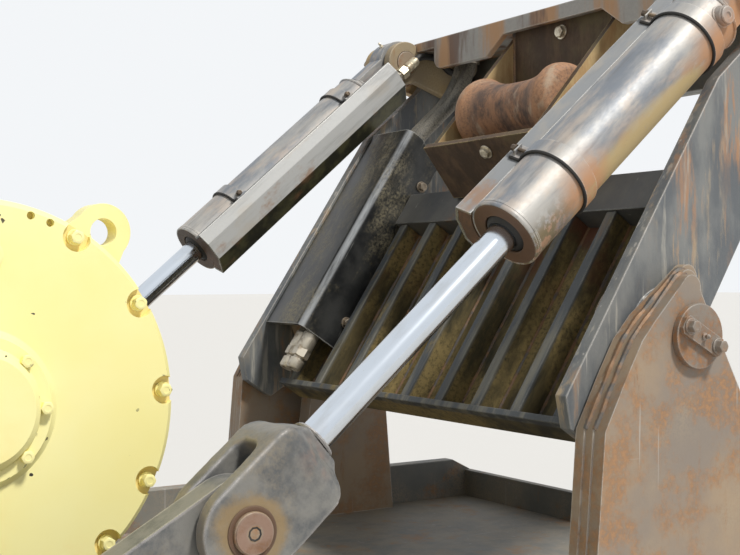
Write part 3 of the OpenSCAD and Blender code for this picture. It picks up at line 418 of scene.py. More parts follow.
def leg_paint():
    """Slate paint on the arch's legs, with ochre and rust washed down it in long upright runs."""
    p = Paint("leg_slate")
    fine = p.noise(130, detail=5, rough=0.72)
    runs = p.noise(30, 0.13, detail=8, rough=0.74)
    p.start(p.spots(12, 0.38, 0.62, 0.4, detail=7, shift=5), (0.105, 0.115, 0.125), (0.20, 0.205, 0.20))
    washed = p.times(p.step(runs, 0.50, 0.62), p.spots(5, 0.36, 0.56, 0.5, detail=6, shift=3))
    tone = p.mix(p.spots(18, 0.42, 0.60, 0.2, detail=5, shift=7), (0.44, 0.335, 0.21), (0.38, 0.20, 0.10))
    p.over(tone, washed, 0.88)
    p.over((0.42, 0.40, 0.35), p.spots(44, 0.56, 0.66, 0.08, detail=5, rough=0.66, shift=2), 0.6)
    line = p.spots(60, 0.66, 0.70, 0.03, detail=3, rough=0.5, shift=9)
    worn = p.most(p.worn(0.22, 0.42), p.times(line, 0.55))
    p.over((0.60, 0.57, 0.52), worn)
    return p.finish(p.sum((fine, 0.3), 0.36), p.times(worn, 0.4),
                    p.sum((fine, 0.6), (runs, 0.4), (washed, 0.4)), 0.4)


def lip_rust():
    """The top plate: grey paint between orange and red-brown runs down its lip, and dusty slate on top."""
    p = Paint("lip_rust", radius=0.005)
    fine = p.noise(140, detail=5, rough=0.7)
    runs = p.noise(11, 0.16, detail=7)
    upright = p.rest(p.times(p.upward(), 0.75))
    p.start(p.step(fine, 0.2, 0.8), (0.33, 0.315, 0.295), (0.40, 0.385, 0.36))
    p.over((0.19, 0.18, 0.165), p.upward(), p.spots(8, 0.35, 0.65, detail=7), 0.7)
    p.over((0.48, 0.26, 0.115), p.step(runs, 0.44, 0.60), upright, 0.9)
    p.over((0.135, 0.075, 0.050), p.spots(13, 0.49, 0.62, 0.16, detail=7, shift=5), upright, 0.9)
    worn = p.worn(0.2, 0.4)
    p.over((0.68, 0.66, 0.60), worn)
    return p.finish(p.sum((fine, 0.25), 0.42), p.times(worn, 0.4), p.sum((fine, 0.6), (runs, 0.4)),
                    0.35, 0.0015)


def guard_black():
    """Glossy black guard under ochre dust, with a pale painted highlight along its bend."""
    p = Paint("guard_black", ARCH)
    fine = p.noise(150, detail=5, rough=0.72)
    p.start(p.spots(10, 0.4, 0.64, detail=6), (0.012, 0.013, 0.014), (0.040, 0.041, 0.040))
    dust = p.times(p.spots(7, 0.45, 0.62, 0.45, detail=8, rough=0.72, shift=3),
                   p.step(fine, 0.36, 0.62), 0.85)
    p.over((0.23, 0.20, 0.13), dust)
    # A pale blue-grey stripe on the faces that look along the bend: a painted highlight.
    bend = ARCH.to_quaternion() @ Vector((-0.72, -0.69, 0))
    p.over((0.42, 0.44, 0.46), p.step(p.vector("DOT_PRODUCT", p.normal, tuple(bend)), 0.86, 1.0),
           p.spots(22, 0.32, 0.6, 0.15, detail=7, rough=0.7, shift=6), 0.8)
    scratch = p.spots(60, 0.66, 0.71, 0.05, shift=9)
    p.over((0.40, 0.40, 0.38), p.most(p.worn(0.3, 0.5), p.times(scratch, 0.5)))
    return p.finish(p.sum((dust, 0.35), (fine, 0.12), 0.24), 0.0, p.sum((fine, 0.5), (dust, 0.5)), 0.3, 0.0012)


def zinc(name, colour=(0.56, 0.51, 0.42), dull=0.36):
    """Plated steel, stained brown in places."""
    p = Paint(name)
    fine = p.noise(260)
    stain = p.spots(45, 0.48, 0.66, detail=6, shift=4)
    p.colour = colour
    p.over((0.24, 0.17, 0.10), stain, 0.7)
    return p.finish(p.sum((fine, 0.2), dull), p.math("SUBTRACT", 0.85, p.times(stain, 0.6)), fine, 0.15, 0.0005)


def rubber(name, base, dust, cover, frame=ROW, ribs=0):
    """Black rubber under dust. ribs draws fine rings round a hose, that many a metre along the frame's Z."""
    p = Paint(name, frame)
    fine = p.noise(300)
    p.colour = base
    low = 0.62 - 0.3 * cover
    p.over(dust, p.spots(16, low, low + 0.22, 0.5, detail=6), p.step(fine, 0.25, 0.6))
    p.over(dust, p.upward(), cover, 0.6)
    height = fine
    if ribs:
        height = p.sum((fine, 0.4), (p.math("SINE", p.times(p.axis(2), ribs * math.tau)), 0.3))
    return p.finish(p.sum((fine, 0.25), 0.5), 0.0, height, 0.25, 0.001)


def bead():
    """A weld's bead: dark scale, rust in its ripples."""
    p = Paint("weld_bead")
    fine = p.noise(200)
    p.start(p.spots(30, 0.4, 0.62, detail=5), (0.11, 0.10, 0.09), (0.24, 0.14, 0.075))
    return p.finish(p.sum((fine, 0.2), 0.45), 0.35, fine, 0.3, 0.001)


FINISH = {
    "frame_paint": worn_steel("frame_slate", (0.13, 0.135, 0.13), (0.20, 0.195, 0.175), rust_cover=0.45,
                              streaks=0.3, dust_cover=0.6),
    "arch_paint": worn_steel("arch_slate", (0.115, 0.122, 0.122), (0.20, 0.20, 0.18), frame=ARCH,
                             rust=(0.44, 0.27, 0.14), rust_cover=0.20, streaks=0.62,
                             dust=(0.42, 0.35, 0.25), dust_cover=0.42, bare=(0.52, 0.50, 0.46)),
    "panel_paint": panel_paint(),
    "rusty_steel": worn_steel("rusty_steel", (0.24, 0.20, 0.165), (0.34, 0.25, 0.165), rust=(0.36, 0.20, 0.10),
                              rust_cover=0.7, dust_cover=0.5, bare=(0.62, 0.62, 0.60)),
    "fairlead_rust": fairlead_rust(),
    "roller_rust": roller_rust(),
    "winch_paint": winch_yellow(),
    "rod_chrome": chrome(),
    "pin_steel": worn_steel("pin_steel", (0.22, 0.19, 0.16), (0.30, 0.23, 0.16), rust_cover=0.8,
                            rough=(0.4, 0.6)),
    "clevis_steel": clevis_cast(),
    "lip_steel": lip_rust(),
    "leg_paint": leg_paint(),
    "cross_steel": worn_steel("cross_steel", (0.045, 0.050, 0.056), (0.105, 0.105, 0.10), frame=ARCH,
                              rust=(0.20, 0.11, 0.055), rust_cover=0.3, streaks=0.3, dust=(0.24, 0.20, 0.13),
                              dust_cover=0.35, bare=(0.48, 0.47, 0.44), edge=1.0, rough=(0.35, 0.6)),
    "ear_ochre": worn_steel("ear_ochre", (0.42, 0.29, 0.13), (0.30, 0.24, 0.16), rust=(0.36, 0.19, 0.08),
                            rust_cover=0.5, dust=(0.50, 0.40, 0.24), dust_cover=0.5, bare=(0.66, 0.60, 0.48)),
    "guard_black": guard_black(),
    "hose_rubber": rubber("hose_rubber", (0.045, 0.045, 0.042), (0.24, 0.22, 0.18), 0.9, ARCH, 140),
    "gland_black": rubber("gland_black", (0.020, 0.016, 0.012), (0.085, 0.060, 0.040), 0.4),
    "pipe_zinc": zinc("pipe_zinc"),
}
BARREL = {side: barrel_steel(f"barrel_{name}", side) for name, side in SIDES}
COVER = {side: cover_grey(f"cover_{name}", side) for name, side in SIDES}
BLACK_RUBBER = rubber("black_rubber", (0.014, 0.013, 0.012), (0.06, 0.05, 0.04), 0.3)
BOLT_STEEL = zinc("bolt_steel", (0.34, 0.29, 0.23), 0.42)
FERRULE = zinc("ferrule", (0.66, 0.60, 0.45), 0.30)
BRIGHT_BOLT = zinc("bright_bolt", (0.66, 0.60, 0.48), 0.34)
DARK_BOLT = zinc("dark_bolt", (0.12, 0.095, 0.075), 0.5)
MOUTH = worn_steel("mouth_brown", (0.055, 0.036, 0.022), (0.11, 0.058, 0.032), rust=(0.15, 0.075, 0.04),
                   rust_cover=0.6, dust_cover=0.2, bare=(0.22, 0.17, 0.12), edge=0.5)
PIN_RUST = worn_steel("pin_rust", (0.17, 0.105, 0.07), (0.26, 0.165, 0.12), rust=(0.20, 0.10, 0.05),
                      rust_cover=0.7, dust_cover=0.3, bare=(0.36, 0.30, 0.25), edge=0.4)
WELD = bead()

# Nodes with a finish of their own, beside their slot's
NODE_FINISH = {"fairlead_box": "fairlead_rust", "arch_top": "lip_steel", "arch_cross_member": "cross_steel"}
for name, _ in SIDES:
    NODE_FINISH |= {f"arch_leg_{name}": "leg_paint", f"arch_ears_{name}": "ear_ochre"}
# Widths of the rounded edges, by the start of a node's name
EDGE_WIDTH = {"frame": 0.003, "axle": 0.003, "lug": 0.003, "pivot_ears": 0.004, "winch_base": 0.003,
              "winch_case": 0.004, "winch_cover": 0.005, "arch": 0.0025, "fairlead": 0.002,
              "hose_guard": 0.0015, "boom": 0.003, "clevis": 0.003, "barrel": 0.0015, "pipe_cover": 0.001,
              "band": 0.0008, "roller": 0.002}
PLAIN_EDGE = 0.0015


def dress_nodes():
    for part in frame["record"]["subparts"]:
        name, slot = part["node"], part["material_slot"]
        node = frame["nodes"][name]
        side = -1 if name.endswith("left") else 1
        by_side = {"barrel_paint": BARREL, "cover_paint": COVER}.get(slot)
        finish = by_side[side] if by_side else FINISH[NODE_FINISH.get(name, slot)]
        if not node.material_slots:
            node.data.materials.append(None)
        for place in node.material_slots:
            place.material = finish


def rounded(piece, width, angle, segments=2):
    edge = piece.modifiers.new("edge", "BEVEL")
    edge.width, edge.segments = width, segments
    edge.limit_method, edge.angle_limit = "ANGLE", math.radians(angle)
    edge.harden_normals = True


def soften_nodes():
    """Rounds the solids' edges with modifiers, so that they catch the light."""
    for name, node in frame["nodes"].items():
        width = next((w for start, w in EDGE_WIDTH.items() if name.startswith(start)), PLAIN_EDGE)
        custom = node.data.attributes.get("custom_normal")
        if custom:
            node.data.attributes.remove(custom)
        node.data.shade_smooth()
        node.modifiers.new("join", "WELD").merge_threshold = 1e-5
        flat = node.modifiers.new("flat", "DECIMATE")
        flat.decimate_type, flat.angle_limit = "DISSOLVE", math.radians(0.6)
        rounded(node, width, 32, 3 if width > 0.0035 else 2)


# Meshes

def polar(radius, degrees):
    a = math.radians(degrees)
    return radius * math.cos(a), radius * math.sin(a)


def circle(radius, z, count, centre=(0, 0)):
    turns = (polar(radius, 360 * k / count) for k in range(count))
    return [(centre[0] + x, centre[1] + y, z) for x, y in turns]


def arc(centre, radius, start, end, steps):
    turns = (polar(radius, start + (end - start) * i / steps) for i in range(steps + 1))
    return [(centre[0] + x, centre[1] + z) for x, z in turns]


def round_at(centre, radius, degrees, y):
    """A point on a circle in X and Z."""
    x, z = polar(radius, degrees)
    return Vector((centre.x + x, y, centre.z + z))


def across_axis(axis):
    """Two unit vectors square to an axis and to each other."""
    axis = Vector(axis).normalized()
    side = axis.cross((0, 0, 1)) if abs(axis.z) < 0.9 else axis.cross((1, 0, 0))
    side.normalize()
    return side, axis.cross(side)


# Where a weld's noise is read for each axis, so that its pushes differ
WELD_APART = [Vector((9.3, -1.5, -7.9)) * k for k in (0, 1, 2)]


class Build:
    """Solids gathered in one mesh, drawn in a local frame."""

    def __init__(self, frame=ROW):
        self.mesh = bmesh.new()
        self.frame = frame

    def skin(self, rings, closed=False):
        """Faces between rings of points, with caps on both ends, or from the last ring on to the first."""
        rows = [[self.mesh.verts.new(self.frame @ Vector(p)) for p in ring] for ring in rings]
        count = len(rows[0])
        for a, b in zip(rows, rows[1:] + (rows[:1] if closed else [])):
            for k in range(count):
                n = (k + 1) % count
                self.mesh.faces.new((a[k], a[n], b[n], b[k]))
        if not closed:
            self.mesh.faces.new(rows[0][::-1])
            self.mesh.faces.new(rows[-1])

    def spun(self, at, axis, rows, closed=False):
        """Rings round an axis. A row has each point's radius and distance along the axis."""
        u, v = across_axis(axis)
        axis, at = Vector(axis).normalized(), Vector(at)
        rings = []
        for row in rows:
            turns = (math.tau * k / len(row) for k in range(len(row)))
            rings.append([at + axis * h + (u * math.cos(a) + v * math.sin(a)) * r
                          for a, (r, h) in zip(turns, row)])
        self.skin(rings, closed)

    def turned(self, at, axis, profile, sides=32, base=0.0, closed=False):
        """A turned solid, or a ring if closed. The profile is in millimetres, its radii counted from base."""
        self.spun(at, axis, [[(base + r / 1000, h / 1000)] * sides for r, h in profile], closed)

    def bolt(self, at, axis, flats, washer=0.0, height=None, turn=0.0):
        """A hex head with a chamfered top, on a washer of that radius where it isn't 0."""
        base = 0.0035 if washer else 0.0
        if washer:
            self.turned(at, axis, [(-0.6, 0), (0, 0.6), (0, 2.9), (-0.6, 3.5)], 28, washer)
        sides, inner, sixth = 24, flats / 2, math.tau / 6
        flat_top, top = 0.93 * inner, base + (height or 0.62 * flats)
        hexagon = [inner / math.cos((math.tau * k / sides + turn) % sixth - sixth / 2) for k in range(sides)]
        self.spun(at, axis, [
            [(r, base) for r in hexagon],
            [(r, top - (r - flat_top) * 0.55) for r in hexagon],
            [(flat_top, top)] * sides,
            [(0.55 * inner, top)] * sides,
            [(0.50 * inner, top - 0.0006)] * sides])

    def tube(self, points, radius, sides=12, closed=False):
        """A tube along points. radius is a number or one for each point."""
        points = [Vector(p) for p in points]
        count = len(points)
        u = None
        rings = []
        for i, p in enumerate(points):
            before = points[i - 1] if i or closed else p
            after = points[(i + 1) % count] if i < count - 1 or closed else p
            run = (after - before).normalized()
            u = across_axis(run)[0] if u is None else (u - run * u.dot(run)).normalized()
            v = run.cross(u)
            r = radius[i] if isinstance(radius, list) else radius
            rings.append([p + (u * math.cos(math.tau * k / sides) + v * math.sin(math.tau * k / sides)) * r
                          for k in range(sides)])
        self.skin(rings, closed)

    def weld(self, corners, r=0.005, closed=False):
        """A rippled bead along straight runs between corners."""
        corners = [Vector(c) for c in corners]
        if closed:
            corners.append(corners[0])
        points = []
        for a, b in zip(corners, corners[1:]):
            steps = max(2, round((b - a).length / (0.9 * r)))
            points += [a.lerp(b, i / steps) for i in range(steps)]
        if not closed:
            points.append(corners[-1])
        radii = [r * (0.86 + 0.16 * (i % 2) + 0.30 * noise.noise(p * 40)) for i, p in enumerate(points)]
        points = [p + Vector([noise.noise(p * 25 + apart) for apart in WELD_APART]) * r * 0.22 for p in points]
        self.tube(points, radii, 6, closed)

    def slab(self, outline, direction):
        """A plate: a closed outline of points, moved along a direction."""
        self.skin([outline, [Vector(p) + Vector(direction) for p in outline]])

    def done(self, name, body, slot, finish=None, bevel=0.0, smooth=38):
        """Makes the piece, in its slot's finish or one of its own, and starts on the next one.

        It rides on the body; body None leaves that to the caller.
        """
        bmesh.ops.recalc_face_normals(self.mesh, faces=self.mesh.faces)
        data = bpy.data.meshes.new(name)
        self.mesh.to_mesh(data)
        self.mesh.free()
        self.mesh = bmesh.new()
        piece = bpy.data.objects.new(name, data)
        bpy.context.scene.collection.objects.link(piece)
        data.materials.append(finish or FINISH[slot])
        data.shade_smooth()
        data.set_sharp_from_angle(angle=math.radians(smooth))
        if bevel:
            rounded(piece, bevel, smooth)
        if body:
            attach(piece, body)
        return piece


def smooth_path(points, each=8):
    """Points of a smooth curve through the given ones."""
    points = [Vector(p) for p in points]
    padded = [2 * points[0] - points[1], *points, 2 * points[-1] - points[-2]]
    made = []
    for a, b, c, d in zip(padded, padded[1:], padded[2:], padded[3:]):
        for i in range(each):
            t = i / each
            made.append(0.5 * (2 * b + (c - a) * t + (2 * a - 5 * b + 4 * c - d) * t * t
                               + (3 * b - a - 3 * c + d) * t ** 3))
    return made + [points[-1]]


def thick(path, wall):
    """Outline of a sheet folded along a path: one face there, the other back, with mitred folds."""
    path = [Vector(p) for p in path]
    faces = [[], []]
    for i, p in enumerate(path):
        runs = [(p - path[i - 1]).normalized()] if i else []
        if i < len(path) - 1:
            runs.append((path[i + 1] - p).normalized())
        normals = [Vector((-r.y, r.x)) for r in runs]
        middle = sum(normals, Vector((0, 0))).normalized()
        reach = wall / 2 / max(0.5, middle.dot(normals[0]))
        faces[0].append(p + middle * reach)
        faces[1].append(p - middle * reach)
    return faces[0] + faces[1][::-1]


# Winch

def winch_details():
    b = Build()
    for name, side in SIDES:
        out = (0, side, 0)
        for i, turn in enumerate(COVER_BOLTS):
            at = round_at(WINCH, COVER_BOLT_R, turn, side * (COVER_FACE - POCKET_D))
            b.bolt(at, out, 0.0185, 0.0125, 0.015, i * 1.7)
        for i in range(8):
            b.bolt(round_at(WINCH, CAP_BOLT_R, 45 * i, side * CAP_FACE), out, 0.0175, 0, 0.0125, i * 0.9)
        b.done(f"winch_bolts_{name}", "frame", "winch_paint")
        b.turned((WINCH.x + 0.018, side * (COVER_FACE + 0.009), WINCH.z + 0.222), out,
                 [(19.5, -4), (20.5, 0), (19.5, 4), (16.5, 5.2), (12.5, 4.5), (11.5, -2), (10.5, -2.5)], 40)
        b.done(f"winch_plug_{name}", "frame", "winch_paint")
    # Feet of the gear cases, bolted down to the base
    for side in (-1, 1):
        for dx in (-0.262, 0.262):
            for y in (0.245, 0.290):
                b.bolt((WINCH.x + dx, side * y, 0.390), (0, 0, 1), 0.030, 0.022)
    b.done("winch_base_bolts", "frame", "winch_paint", BOLT_STEEL)


def motor_details():
    centre = WINCH + Vector((-0.090, 0, -0.060))
    flange = COVER_FACE + 0.0543
    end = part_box("winch_motor")[1].y
    b = Build()
    for turn in (45, 135, 225, 315):
        b.bolt(round_at(centre, 0.095, turn, flange), (0, 1, 0), 0.019)
    b.turned((centre.x, end - 0.001, centre.z), (0, 1, 0), [(62, 0), (60, 0.8), (20, 0.8)], 48)
    b.done("motor_bolts", "frame", "frame_paint", BOLT_STEEL)
    for turn in (-50, 50):
        up, aside = polar(1, turn)
        along = Vector((aside, 0, up))
        foot = Vector((centre.x + 0.060 * aside, COVER_FACE + 0.110, centre.z))
        b.bolt(foot + along * 0.084, along, 0.041, height=0.014)
    b.done("motor_port_nuts", "frame", "frame_paint", BRIGHT_BOLT)


# Lift cylinders

def mouth_details(name, side, here, body):
    """The barrel's rim with its groove, the gland's face and screws, and the seal round the rod."""
    mouth, along = (0, 0, BARREL_LOW), (0, 0, 1)
    b = Build(here)
    b.turned(mouth, along, [(-2.8, -1.2), (-0.4, -1.6), (0.9, 0.2), (0.9, 4.2), (-1, 5.2), (-2.8, 5.2)], 72,
             BARREL_R, True)
    b.turned(mouth, along, [(-1, 7), (0.6, 7.8), (0.6, 12), (-1, 12.8)], 72, BARREL_R, True)
    b.done(f"mouth_rim_{name}", body, "barrel_paint", BARREL[side])
    wall = (BARREL_R - ROD_R) * 1000
    b.turned(mouth, along, [(13, 4), (12, -0.2), (13.2, -1.6), (wall - 4, -2), (wall - 2.6, -0.6),
                            (wall - 2.6, 4)], 72, ROD_R, True)
    b.done(f"gland_face_{name}", body, "gland_black", MOUTH)
    b.turned(mouth, along, [(0.4, -4), (3, -5.2), (7.5, -2), (11, 1.5), (11, 4), (0.4, 4)], 56, ROD_R, True)
    b.done(f"rod_seal_{name}", body, "gland_black", BLACK_RUBBER)
    for k in range(6):
        b.turned((*polar(0.0450, 60 * k + 30), BARREL_LOW + 0.0095), (0, 0, -1),
                 [(4.2, 0), (4.2, 2), (3, 3.4), (1.6, 3.4)], 16)
    b.done(f"gland_screws_{name}", body, "gland_black")


def barrel_details(name, side, here, body):
    """Welds of the end cap, the eye and the oil port, the port's plug, and the eye's grease nipple."""
    b = Build(here)
    b.weld(circle(BARREL_R, BARREL_TOP - 0.001, 40), 0.0034, True)
    b.weld(circle(0.0475, BARREL_TOP + 0.019, 40), 0.0034, True)
    b.weld([(x, math.sqrt(BARREL_R ** 2 - x ** 2), z) for x, z, _ in circle(0.0185, 0, 20, PORT)], 0.0028, True)
    b.done(f"barrel_welds_{name}", body, "barrel_paint", BARREL[side])
    b.turned((PORT[0], BARREL_R + 0.0095, PORT[1]), (0, 1, 0),
             [(15, 0), (15.8, 1), (15.8, 4), (14.5, 5.2), (6, 5.2), (5.5, 3)], 36)
    b.done(f"port_plug_{name}", body, "barrel_paint", BARREL[side])
    b.turned((-0.0615, 0, PIN_GAP), (-1, 0, 0),
             [(5.5, 0), (5.5, 4), (3.2, 5), (3.2, 9), (4.2, 11), (3, 14), (1.2, 14.8)], 20)
    b.done(f"eye_nipple_{name}", body, "pin_steel", BRIGHT_BOLT)


# The sheet over the oil pipe and the clamps' feet, in a cylinder's X and Y, before they are turned about it
COVER_TURN = math.radians(8)
COVER_LOW = BARREL_LOW - 0.006
COVER_LENGTH = PIN_GAP - 0.064 - COVER_LOW
COVER_FOLDS = [(-0.0415, -0.0495), (-0.0515, -0.0772), (-0.0272, -0.0919), (0.0158, -0.0960), (0.0623, -0.0677),
               (0.0526, -0.0429)]
BAND_FOOT = [(-0.0488, -0.0448), (-0.0466, -0.0486), (-0.0473, -0.0530), (-0.0495, -0.0580), (-0.0514, -0.0634),
             (-0.0531, -0.0682)]


def turned_point(x, y, side, z=0.0):
    """A point of the cover's or the clamps' section, turned with them about the barrel."""
    return Matrix.Rotation(COVER_TURN * side, 3, "Z") @ Vector((x, y, z))


def on_barrel(degrees, grow=0.0):
    """A point on the barrel's section, from its up-front side (0) round its outer side (90)."""
    x, y = polar(BARREL_R + grow, degrees)
    return -x, y


def pipe_cover(name, side, here, body):
    """The folded sheet over the oil pipe, closed by a plate at the barrel's mouth."""
    b = Build(here)
    b.slab([turned_point(*p, side, COVER_LOW) for p in thick(COVER_FOLDS, 0.005)], (0, 0, COVER_LENGTH))
    sheet = b.done(f"cover_sheet_{name}", body, "cover_paint", COVER[side], 0.0012, 20)
    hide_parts(f"pipe_cover_{name}")
    # The end plate takes the dark brown mouth finish: painted shade inside the sheet's lower end.
    inside = [(x * 0.972, y * 0.972) for x, y in COVER_FOLDS]
    round_barrel = [on_barrel(d, 0.0008) for d in range(222, 310, 6)]
    b.slab([turned_point(*p, side, COVER_LOW + 0.0012) for p in inside + round_barrel], (0, 0, 0.005))
    b.done(f"cover_end_{name}", body, "cover_paint", MOUTH, 0.0005)


def band_details(name, side, here, body):
    """Clamps round the barrel, a black rubber strip along each one's lower edge that is also its painted
    shadow, and their ends, bolted down on the cover.
    """
    bands, rubber_and_shadow_edge, bolts = Build(here), Build(here), Build(here)
    path = [on_barrel(d, 0.0027) for d in range(214, -40, -4)] + [on_barrel(-42, 0.0024)] + BAND_FOOT
    outline = thick(path, 0.0046)
    run = (turned_point(*BAND_FOOT[-1], side) - turned_point(*BAND_FOOT[-3], side)).normalized()
    out = Vector((run.y, -run.x, 0))
    if out.x > 0:
        out = -out
    for at in BAND_AT:
        low = BARREL_LOW + at - BAND_W / 2
        bands.slab([turned_point(*p, side, low) for p in outline], (0, 0, BAND_W))
        # Black rubber along the band's lower edge, standing in as its painted shadow too.
        rubber_and_shadow_edge.tube([turned_point(*p, side, low - 0.0014) for p in path], 0.0030, 8)
        foot = turned_point(*BAND_FOOT[-2], side, low) + out * 0.0020
        # The band's end, folded up, and the bolt through it
        bands.slab([foot - run * back + out * rise + Vector((0, 0, up)) for back, rise, up in (
            (0.004, 0, 0.003), (0.001, 0, 0.003), (0.001, 0.010, 0.005), (0.004, 0.010, 0.005))], (0, 0, 0.021))
        middle = foot + out * 0.0052 + Vector((0, 0, 0.0145))
        bolts.bolt(middle, run, 0.0105, 0.0072, 0.0062)
        bolts.turned(middle - run * 0.018, run, [(3, 0), (3.4, 1), (3.4, 19.2)], 14)
    made = bands.done(f"band_pair_{name}", body, "barrel_paint", BARREL[side], 0.0007, 30)
    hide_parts(f"band_clamps_{name}")
    rubber_and_shadow_edge.done(f"band_rubber_shadow_{name}", body, "gland_black", BLACK_RUBBER)
    bolts.done(f"band_bolts_{name}", body, "pipe_zinc", DARK_BOLT)


def clevis_casting(name, side, here, _):
    """The rod's fork as a casting: the side view's outline and the front view's, cut out of each other."""
    r, neck, top = 0.072, 0.034, 0.166
    flank, flank_z = 0.042, 0.112
    edge_on = arc((0, 0), r, 180, 360, 24) + arc((r - flank, flank_z), flank, 0, 62, 8) + [(neck, top)]
    edge_on += [(-neck, top)] + arc((flank - r, flank_z), flank, 118, 180, 8)
    half, gap, crotch, shoulder, inside = 0.058, 0.030, 0.096, 0.036, 0.020
    face_on = [(gap, -0.080), (half, -0.080)] + arc((half - shoulder, 0.118), shoulder, 0, 66, 8)
    face_on += [(neck - 0.002, top)]
    face_on += [(-y, z) for y, z in face_on[::-1]]
    face_on += arc((inside - gap, crotch - inside), inside, 180, 90, 6)
    face_on += arc((gap - inside, crotch - inside), inside, 90, 0, 6)
    first, second = Build(), Build()
    first.slab([(x, -0.07, z) for x, z in edge_on], (0, 0.14, 0))
    second.slab([(-0.10, y, z) for y, z in face_on], (0.20, 0, 0))
    casting, cutter = (b.done(f"clevis_{part}_{name}", None, "clevis_steel")
                       for b, part in ((first, "casting"), (second, "cutter")))
    common = casting.modifiers.new("common", "BOOLEAN")
    common.operation, common.solver, common.object = "INTERSECT", "EXACT", cutter
    grid = casting.modifiers.new("grid", "REMESH")
    grid.mode, grid.voxel_size = "VOXEL", 0.0025
    soft = casting.modifiers.new("soft", "SMOOTH")
    soft.factor, soft.iterations = 0.5, 14
    bpy.context.view_layer.update()
    made = bpy.data.meshes.new_from_object(casting.evaluated_get(bpy.context.evaluated_depsgraph_get()))
    casting.modifiers.clear()
    bpy.data.objects.remove(cutter)
    made.transform(here)
    if side < 0:
        made.flip_normals()
    # A cast surface's small lumps. The normals are read before any point moves.
    normals = [v.normal.copy() for v in made.vertices]
    for v, normal in zip(made.vertices, normals):
        v.co += normal * (noise.noise(v.co * 60) * 0.0006 + noise.noise(v.co * 190) * 0.0002)
    casting.data = made
    made.shade_smooth()
    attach(casting, f"rod_{name}")
    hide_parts(f"clevis_{name}")


def clevis_details(name, side, here, _):
    """The weld on the rod's end, and the pin's washers, worn ends and drilled holes."""
    b, rod = Build(here), f"rod_{name}"
    b.weld(circle(ROD_R + 0.0065, 0.169, 28), 0.0036, True)
    b.done(f"clevis_weld_{name}", rod, "clevis_steel")
    for what, at, profile, sides, closed, finish, slot in (
            ("washers", 0.0580, [(30.2, -1), (36.2, -1), (37.5, 0.4), (36.8, 2), (32.5, 3), (30.2, 2.2)],
             48, True, MOUTH, "clevis_steel"),
            # The drilled holes are a black fill sunk in the pin ends: painted shade in them.
            ("pin_holes", 0.0582, [(10, 0), (10.2, 8.3), (8.5, 8.4), (6, 7)],
             9, False, BLACK_RUBBER, "gland_black"),
            ("pin_ends", 0.0655, [(28.5, 0), (28, 1.2), (11.5, 0.6), (9.5, -6), (6, -7.5)],
             40, False, PIN_RUST, "pin_steel")):
        for y in (-1, 1):
            b.turned((0, y * at, 0), (0, y, 0), profile, sides, 0, closed)
        b.done(f"clevis_{what}_{name}", rod, slot, finish)


def cylinder_hose(name, side, here, body):
    """A hose from the oil pipe's end to a port under the arch's top plate."""
    foot = here @ turned_point(-0.005, -0.0796, side, PIN_GAP + 0.016)
    hose_r, pipe_r = 0.0092, 0.0095
    b = Build()
    b.bolt(foot - ALONG * 0.068, ALONG, 0.031, height=0.022)
    b.turned(foot - ALONG * 0.040, ALONG, [(11.8, 0), (13.5, 1.5), (13.5, 14), (12.4, 15.5), (12.4, 18),
                                           (13.5, 19.5), (13.5, 34.5), (12.2, 36), (10, 36)])
    b.done(f"hose_ferrule_{name}", body, "pipe_zinc", FERRULE)
    if side > 0:
        route = [foot - ALONG * 0.004, foot + ALONG * 0.012, foot + Vector((0.034, 0, 0.0125)),
                 foot + Vector((0.070, 0, 0.0080))]
    else:
        # A short elbow turns the hose down, clear of the top plate's edge
        down = Vector((ALONG.z, 0, -ALONG.x))
        turn = [foot + ALONG * x + down * (0.016 - z) for z, x in (polar(0.016, d) for d in range(0, 91, 15))]
        b.tube([foot - ALONG * 0.004, *turn, turn[-1] + down * 0.006], pipe_r, 20)
        b.bolt(foot - ALONG * 0.003, ALONG, 0.024, height=0.008)
        b.done(f"hose_elbow_{name}", body, "pipe_zinc")
        route = [turn[-1] + down * 0.002, turn[-1] + down * 0.020, turn[-1] + Vector((0.040, 0, -0.040))]
    # The port's own elbow stands under the top plate, and the hose ends in its ferrule
    low, reach, turn_r = TOP_UNDER - 0.0475, 0.285, 0.018
    route += [Vector((0.205, foot.y, low + 0.002)), Vector((0.245, foot.y, low))]
    b.tube(smooth_path(route, 10), hose_r, 16)
    hose = b.done(f"cylinder_hose_{name}", None, "hose_rubber", BLACK_RUBBER)
    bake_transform(hose)
    b.turned((0.226, foot.y, low), (1, 0, 0), [(10.5, 0), (12.5, 1.5), (12.5, 26), (10.5, 27.5)], 28)
    elbow = arc((reach - turn_r, low + turn_r), turn_r, -90, 0, 6)
    b.tube([(x, foot.y, z) for x, z in [(0.250, low), *elbow, (reach, TOP_UNDER - 0.010)]], pipe_r, 20)
    b.bolt((reach, foot.y, TOP_UNDER - 0.018), (0, 0, 1), 0.027, height=0.0177)
    b.done(f"hose_port_{name}", "arch", "pipe_zinc")


# Arch

# The arch hoses' route in the arch's frame, from the middle of each hose's lower end
HOSE_ROUTE = [(-0.080, 0, -0.150), (-0.080, 0, 0), (-0.084, 0, 0.150), (-0.088, 0, 0.300), (-0.090, 0, 0.430),
              (-0.086, 0, 0.492), (-0.074, -0.012, 0.560), (-0.064, -0.022, 0.620), (-0.066, -0.025, 0.685)]
HOSE_R = 0.017
HOSE_Y = (0.4253, 0.4596)


